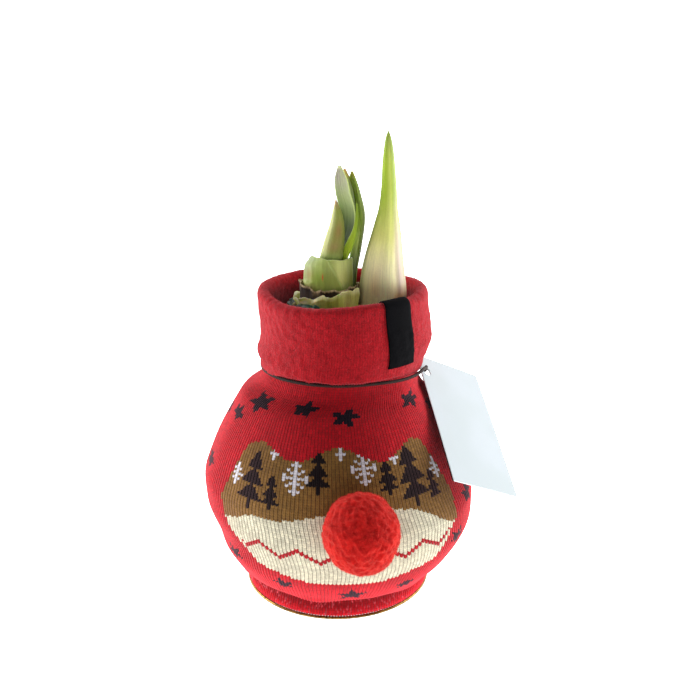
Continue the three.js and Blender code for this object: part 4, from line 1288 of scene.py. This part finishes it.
def add_wire():
    """The stand: a ring on the floor and a coil of the same wire that rises to the bulb's foot."""
    graph = Graph("brass_wire", Metallic=1.0)
    stain = graph.noise(graph.place(), 900, 4)
    draw = graph.noise(graph.place((1, 1, 6)), 2500, 2)
    graph.colour(graph.mix(graph.between(stain, 0.4, 0.68), rgb(150, 120, 66), rgb(66, 48, 28)))
    graph.rough(graph.between(stain, 0.3, 0.7, 0.24, 0.45))
    graph.bump(draw, strength=0.15, distance=0.1)

    def bent(angle, reach, height):
        return np.stack(
            np.broadcast_arrays(reach * np.cos(angle) + RING_SHIFT, reach * np.sin(angle), height), 1
        )

    ring = bent(np.linspace(0, 2 * math.pi, 240, endpoint=False), RING_RADIUS, RING_HEIGHT)
    along = np.linspace(0, 1, 260)
    coil = bent(
        COIL_START + along * COIL_TURNS * 2 * math.pi,
        COIL_OUTER + (COIL_INNER - COIL_OUTER) * np.minimum(1, along * 1.25),
        COIL_FOOT + COIL_RISE * ease(0.3, 0.85, along),
    )
    points, faces = joined(
        tube(ring, WIRE_RADIUS, sides=14, closed_loop=True), tube(coil, WIRE_RADIUS, sides=12)
    )
    add_piece("wire_ring_and_coil", points, faces, graph.material, ["wire_stand"])


CORD_RING, CORD_HEIGHT = 36.1, 105.6
CORD_RADIUS, CORD_TWISTS = 0.7, 190
CORD_STEPS, CORD_SIDES = 900, 12
# The tag's corner, its directions along, down and out, its size, and its hole's place and radius.
TAG_CORNER = np.array([35.03, 7.37, 104.69])
TAG_ALONG = unit(np.array([0.768, 0.472, -0.433]))
TAG_DOWN = unit(np.array([0.1915, -0.8141, -0.5483]))
TAG_OUT = np.cross(TAG_DOWN, TAG_ALONG)
TAG_WIDTH, TAG_LENGTH = 38.6, 65.8
TAG_HOLE = (3.7, 8.4, 2.1)
CARD_THICKNESS, LEAF_GAP = 0.3, 0.04
# The rear leaf is painted nearly black, painted shade that deepens the shadow between the tag and the cover.
CUT_EDGE_SHADE, TAG_REAR_PAINTED_SHADE = 1.8, 0.03


def tag_point(along, down, off):
    """A place on the tag, or off its front."""
    along, down, off = (np.asarray(value, float)[..., None] for value in (along, down, off))
    return TAG_CORNER + TAG_ALONG * along + TAG_DOWN * down + TAG_OUT * off


def add_cord():
    """The elastic cord: it lies in the crease and leaves it at the right to pass through the tag."""

    def round_axis(degrees, reach, height):
        turn = np.radians(degrees)
        return np.stack([lean(height) + reach * np.cos(turn), reach * np.sin(turn), height], -1)

    ring = np.arange(32, 339, 9)
    pulled = ease(285, 330, ring)
    tucked = bell(ring, 185, 45)
    reach = CORD_RING - 0.5 + 1.7 * pulled - 0.8 * tucked
    crease = round_axis(ring, reach, CORD_HEIGHT - 0.9 * pulled - 1.5 * tucked)
    hole_along, hole_down, _ = TAG_HOLE
    threaded = [
        tag_point(hole_along - 2.6, hole_down + 0.2, 1.8),
        tag_point(hole_along - 0.9, hole_down - 1.5, 0.8),
        tag_point(hole_along - 0.1, hole_down - 1.2, -0.6),
        tag_point(hole_along + 0.4, hole_down - 2, -2),
    ]
    behind = [round_axis(13, 37, 100.4), round_axis(22, 36.6, 103.3)]
    route = np.vstack([crease, threaded, behind])
    around = np.vstack([route[-3:], route, route[:3]])
    start, end = 3 / (len(around) - 1), (3 + len(route)) / (len(around) - 1)
    path = smooth_line(around, np.linspace(start, end, CORD_STEPS, endpoint=False))
    angle = np.linspace(0, 2 * math.pi, CORD_SIDES, endpoint=False)[None, :]
    twist = np.linspace(0, 2 * math.pi * CORD_TWISTS, CORD_STEPS, endpoint=False)[:, None]
    radius = CORD_RADIUS + 0.06 * np.sin(2 * angle + twist) + 0.04 * np.sin(3 * angle - 1.5 * twist)
    points, faces = tube(path, radius, CORD_SIDES, closed_loop=True)
    graph = Graph("brown_elastic", Roughness=0.75, Specular_IOR_Level=0.25)
    braid = graph.noise(graph.place(), 2600, 3)
    graph.colour(graph.mix(graph.between(braid, 0.35, 0.65), rgb(15, 7, 6), rgb(48, 26, 20)))
    graph.bump(braid, strength=0.5, distance=0.2)
    add_piece("elastic_cord", points, faces, graph.material, ["neck_cord"])


def card_leaf(down_end, off, curl):
    """One thin leaf of the folded tag, with its punched hole and its cut sides."""
    across_steps, down_steps = 30, 44
    hole_along, hole_down, hole_radius = TAG_HOLE
    along, down = np.meshgrid(np.linspace(0, TAG_WIDTH, across_steps), np.linspace(0, down_end, down_steps))
    distance = np.hypot(along - hole_along, down - hole_down)
    in_hole = distance < hole_radius * 1.35
    push = np.where(in_hole, hole_radius / np.maximum(distance, 1e-6), 1)
    along = hole_along + (along - hole_along) * push
    down = hole_down + (down - hole_down) * push
    bow = off + curl(along, down)
    front, back = (tag_point(along, down, bow - depth).reshape(-1, 3) for depth in (0, CARD_THICKNESS))
    cells = grid_faces(down_steps, across_steps)
    cells = cells[~in_hole.ravel()[cells].all(axis=1)]
    count = len(front)
    faces = cells.tolist() + (cells[:, ::-1] + count).tolist()
    edges = dict.fromkeys(edge for cell in cells.tolist() for edge in zip(cell, cell[1:] + cell[:1]))
    faces += [[end, start, start + count, end + count] for start, end in edges if (end, start) not in edges]
    return np.vstack([front, back]), faces


def add_tag():
    """The hang tag: a folded card, a little sprung open, with a rear leaf painted nearly black as painted
    shade between the tag and the cover.
    """
    graph = Graph("pale_card", Specular_IOR_Level=0.12)
    cloud = graph.noise(graph.place(), 40, 2)
    grain = graph.noise(graph.place(), 3000, 3)
    pale = graph.mix(graph.between(cloud, 0.3, 0.7), rgb(183, 192, 195), rgb(188, 196, 201))
    pale = graph.mix(graph.between(grain, 0.55, 0.75, 0, 0.25), pale, rgb(180, 189, 193))
    graph.colour(graph.times(pale, graph.tint()))
    graph.rough(graph.between(grain, 0.3, 0.7, 0.5, 0.62))
    graph.bump(grain, strength=0.08, distance=0.05)

    def bow(along, down):
        return 0.16 * np.sin(math.pi * down / TAG_LENGTH) + 0.12 * np.sin(math.pi * along / TAG_WIDTH) - 0.2

    def back_bow(along, down):
        return bow(along, down) - 0.25 * (down / TAG_LENGTH) ** 2

    front_leaf = card_leaf(TAG_LENGTH, 0.0, bow)
    rear_leaf = card_leaf(TAG_LENGTH - 0.4, -CARD_THICKNESS - LEAF_GAP, back_bow)
    points, faces = joined(front_leaf, rear_leaf)
    quads = np.array(faces)
    edge = quads.min(axis=1) + len(points) // 4 < quads.max(axis=1)
    rear = np.arange(len(quads)) >= len(front_leaf[1])
    shade = np.where(rear, TAG_REAR_PAINTED_SHADE, np.where(edge, CUT_EDGE_SHADE, 1.0))
    shades = np.repeat(shade, 4)[:, None] * np.ones(4)
    piece = add_piece("folded_tag", points, faces, graph.material, ["hang_tag"], colours=shades)
    piece.data.polygons.foreach_set("use_smooth", [False] * len(faces))


LABEL_FOLD_RADIUS, LABEL_THICKNESS, LABEL_COLUMNS = 3.15, 0.35, 26


def add_label():
    """The black ribbon folded over the collar's edge and sewn down."""
    rows = even_line(
        [
            (129.6, 30.8), (134, 30.8), *arc(*FOLD_CENTRE, LABEL_FOLD_RADIUS, 180, 0, 12), (131, 37.2),
            (125, 37.3), (118, 37.4), (111.6, 37.6),
        ],
        0.6,
    )
    tangent = unit(np.gradient(rows, axis=0))
    across = np.linspace(0, 1, LABEL_COLUMNS)[None, :]
    height, radius = rows[:, :1], rows[:, 1:]
    low = 1 - ease(111.5, CUFF_TOP, height)
    turn = np.radians(28 + 2.1 * low + (20.2 + 1.6 * low) * across)
    follow = cuff_lumps(turn, height, radius, CUFF_SEED) * ease(130, 126, height) * (radius > 34)
    soft = 0.08 * ripple(field_places(turn, radius, height), size=12, seed=81)
    lift = 0.2 + soft - 0.15 * bell(np.abs(across - 0.5), 0.5, 0.06) + follow

    def layer(depth):
        # The line runs up the inside and down the outside, so its left is away from the collar.
        level = height + tangent[:, 1:] * (lift - depth)
        return front_places(turn, radius - tangent[:, :1] * (lift - depth), level)

    points = np.concatenate([layer(0.0), layer(LABEL_THICKNESS)[:, ::-1]], 1)
    sides = 2 * LABEL_COLUMNS
    graph = Graph("woven_ribbon", Roughness=0.85, Specular_IOR_Level=0.05)
    weft = graph.noise(graph.uv((1, 90, 1)), 3.0, 2)
    warp = graph.noise(graph.uv((140, 1, 1)), 1.0, 1)
    weave = graph.weighed(weft, (warp, 0.7))
    graph.colour(graph.mix(graph.between(weave, 0.6, 1.1), rgb(1, 1, 3), rgb(8, 8, 11)))
    graph.bump(weave, strength=0.4, distance=0.12)
    label = add_piece(
        "label_ribbon", points.reshape(-1, 3), capped_tube(len(rows), sides), graph.material,
        ["woven_label"], capped_uvs(len(rows), sides, 1 / LABEL_COLUMNS, 0.04), turn_out=True,
    )


add_camera()
add_studio()
add_cover()
add_pompom()
add_bud("flower_bud_tall", TALL_BUD, tall_bud_tint)
add_bud("flower_bud_short", SHORT_BUD, short_bud_tint)
add_leaf("leaf_pale", LEAF_PALE, leaf_pale_tint)
add_leaf("leaf_middle", LEAF_MIDDLE, leaf_middle_tint)
add_leaf("leaf_dark", LEAF_DARK, leaf_dark_tint)
add_leaf("leaf_bright", LEAF_BRIGHT, leaf_bright_tint)
add_collar()
add_tunic()
add_scale()
add_wax()
add_bulb()
add_wire()
add_cord()
add_tag()
add_label()
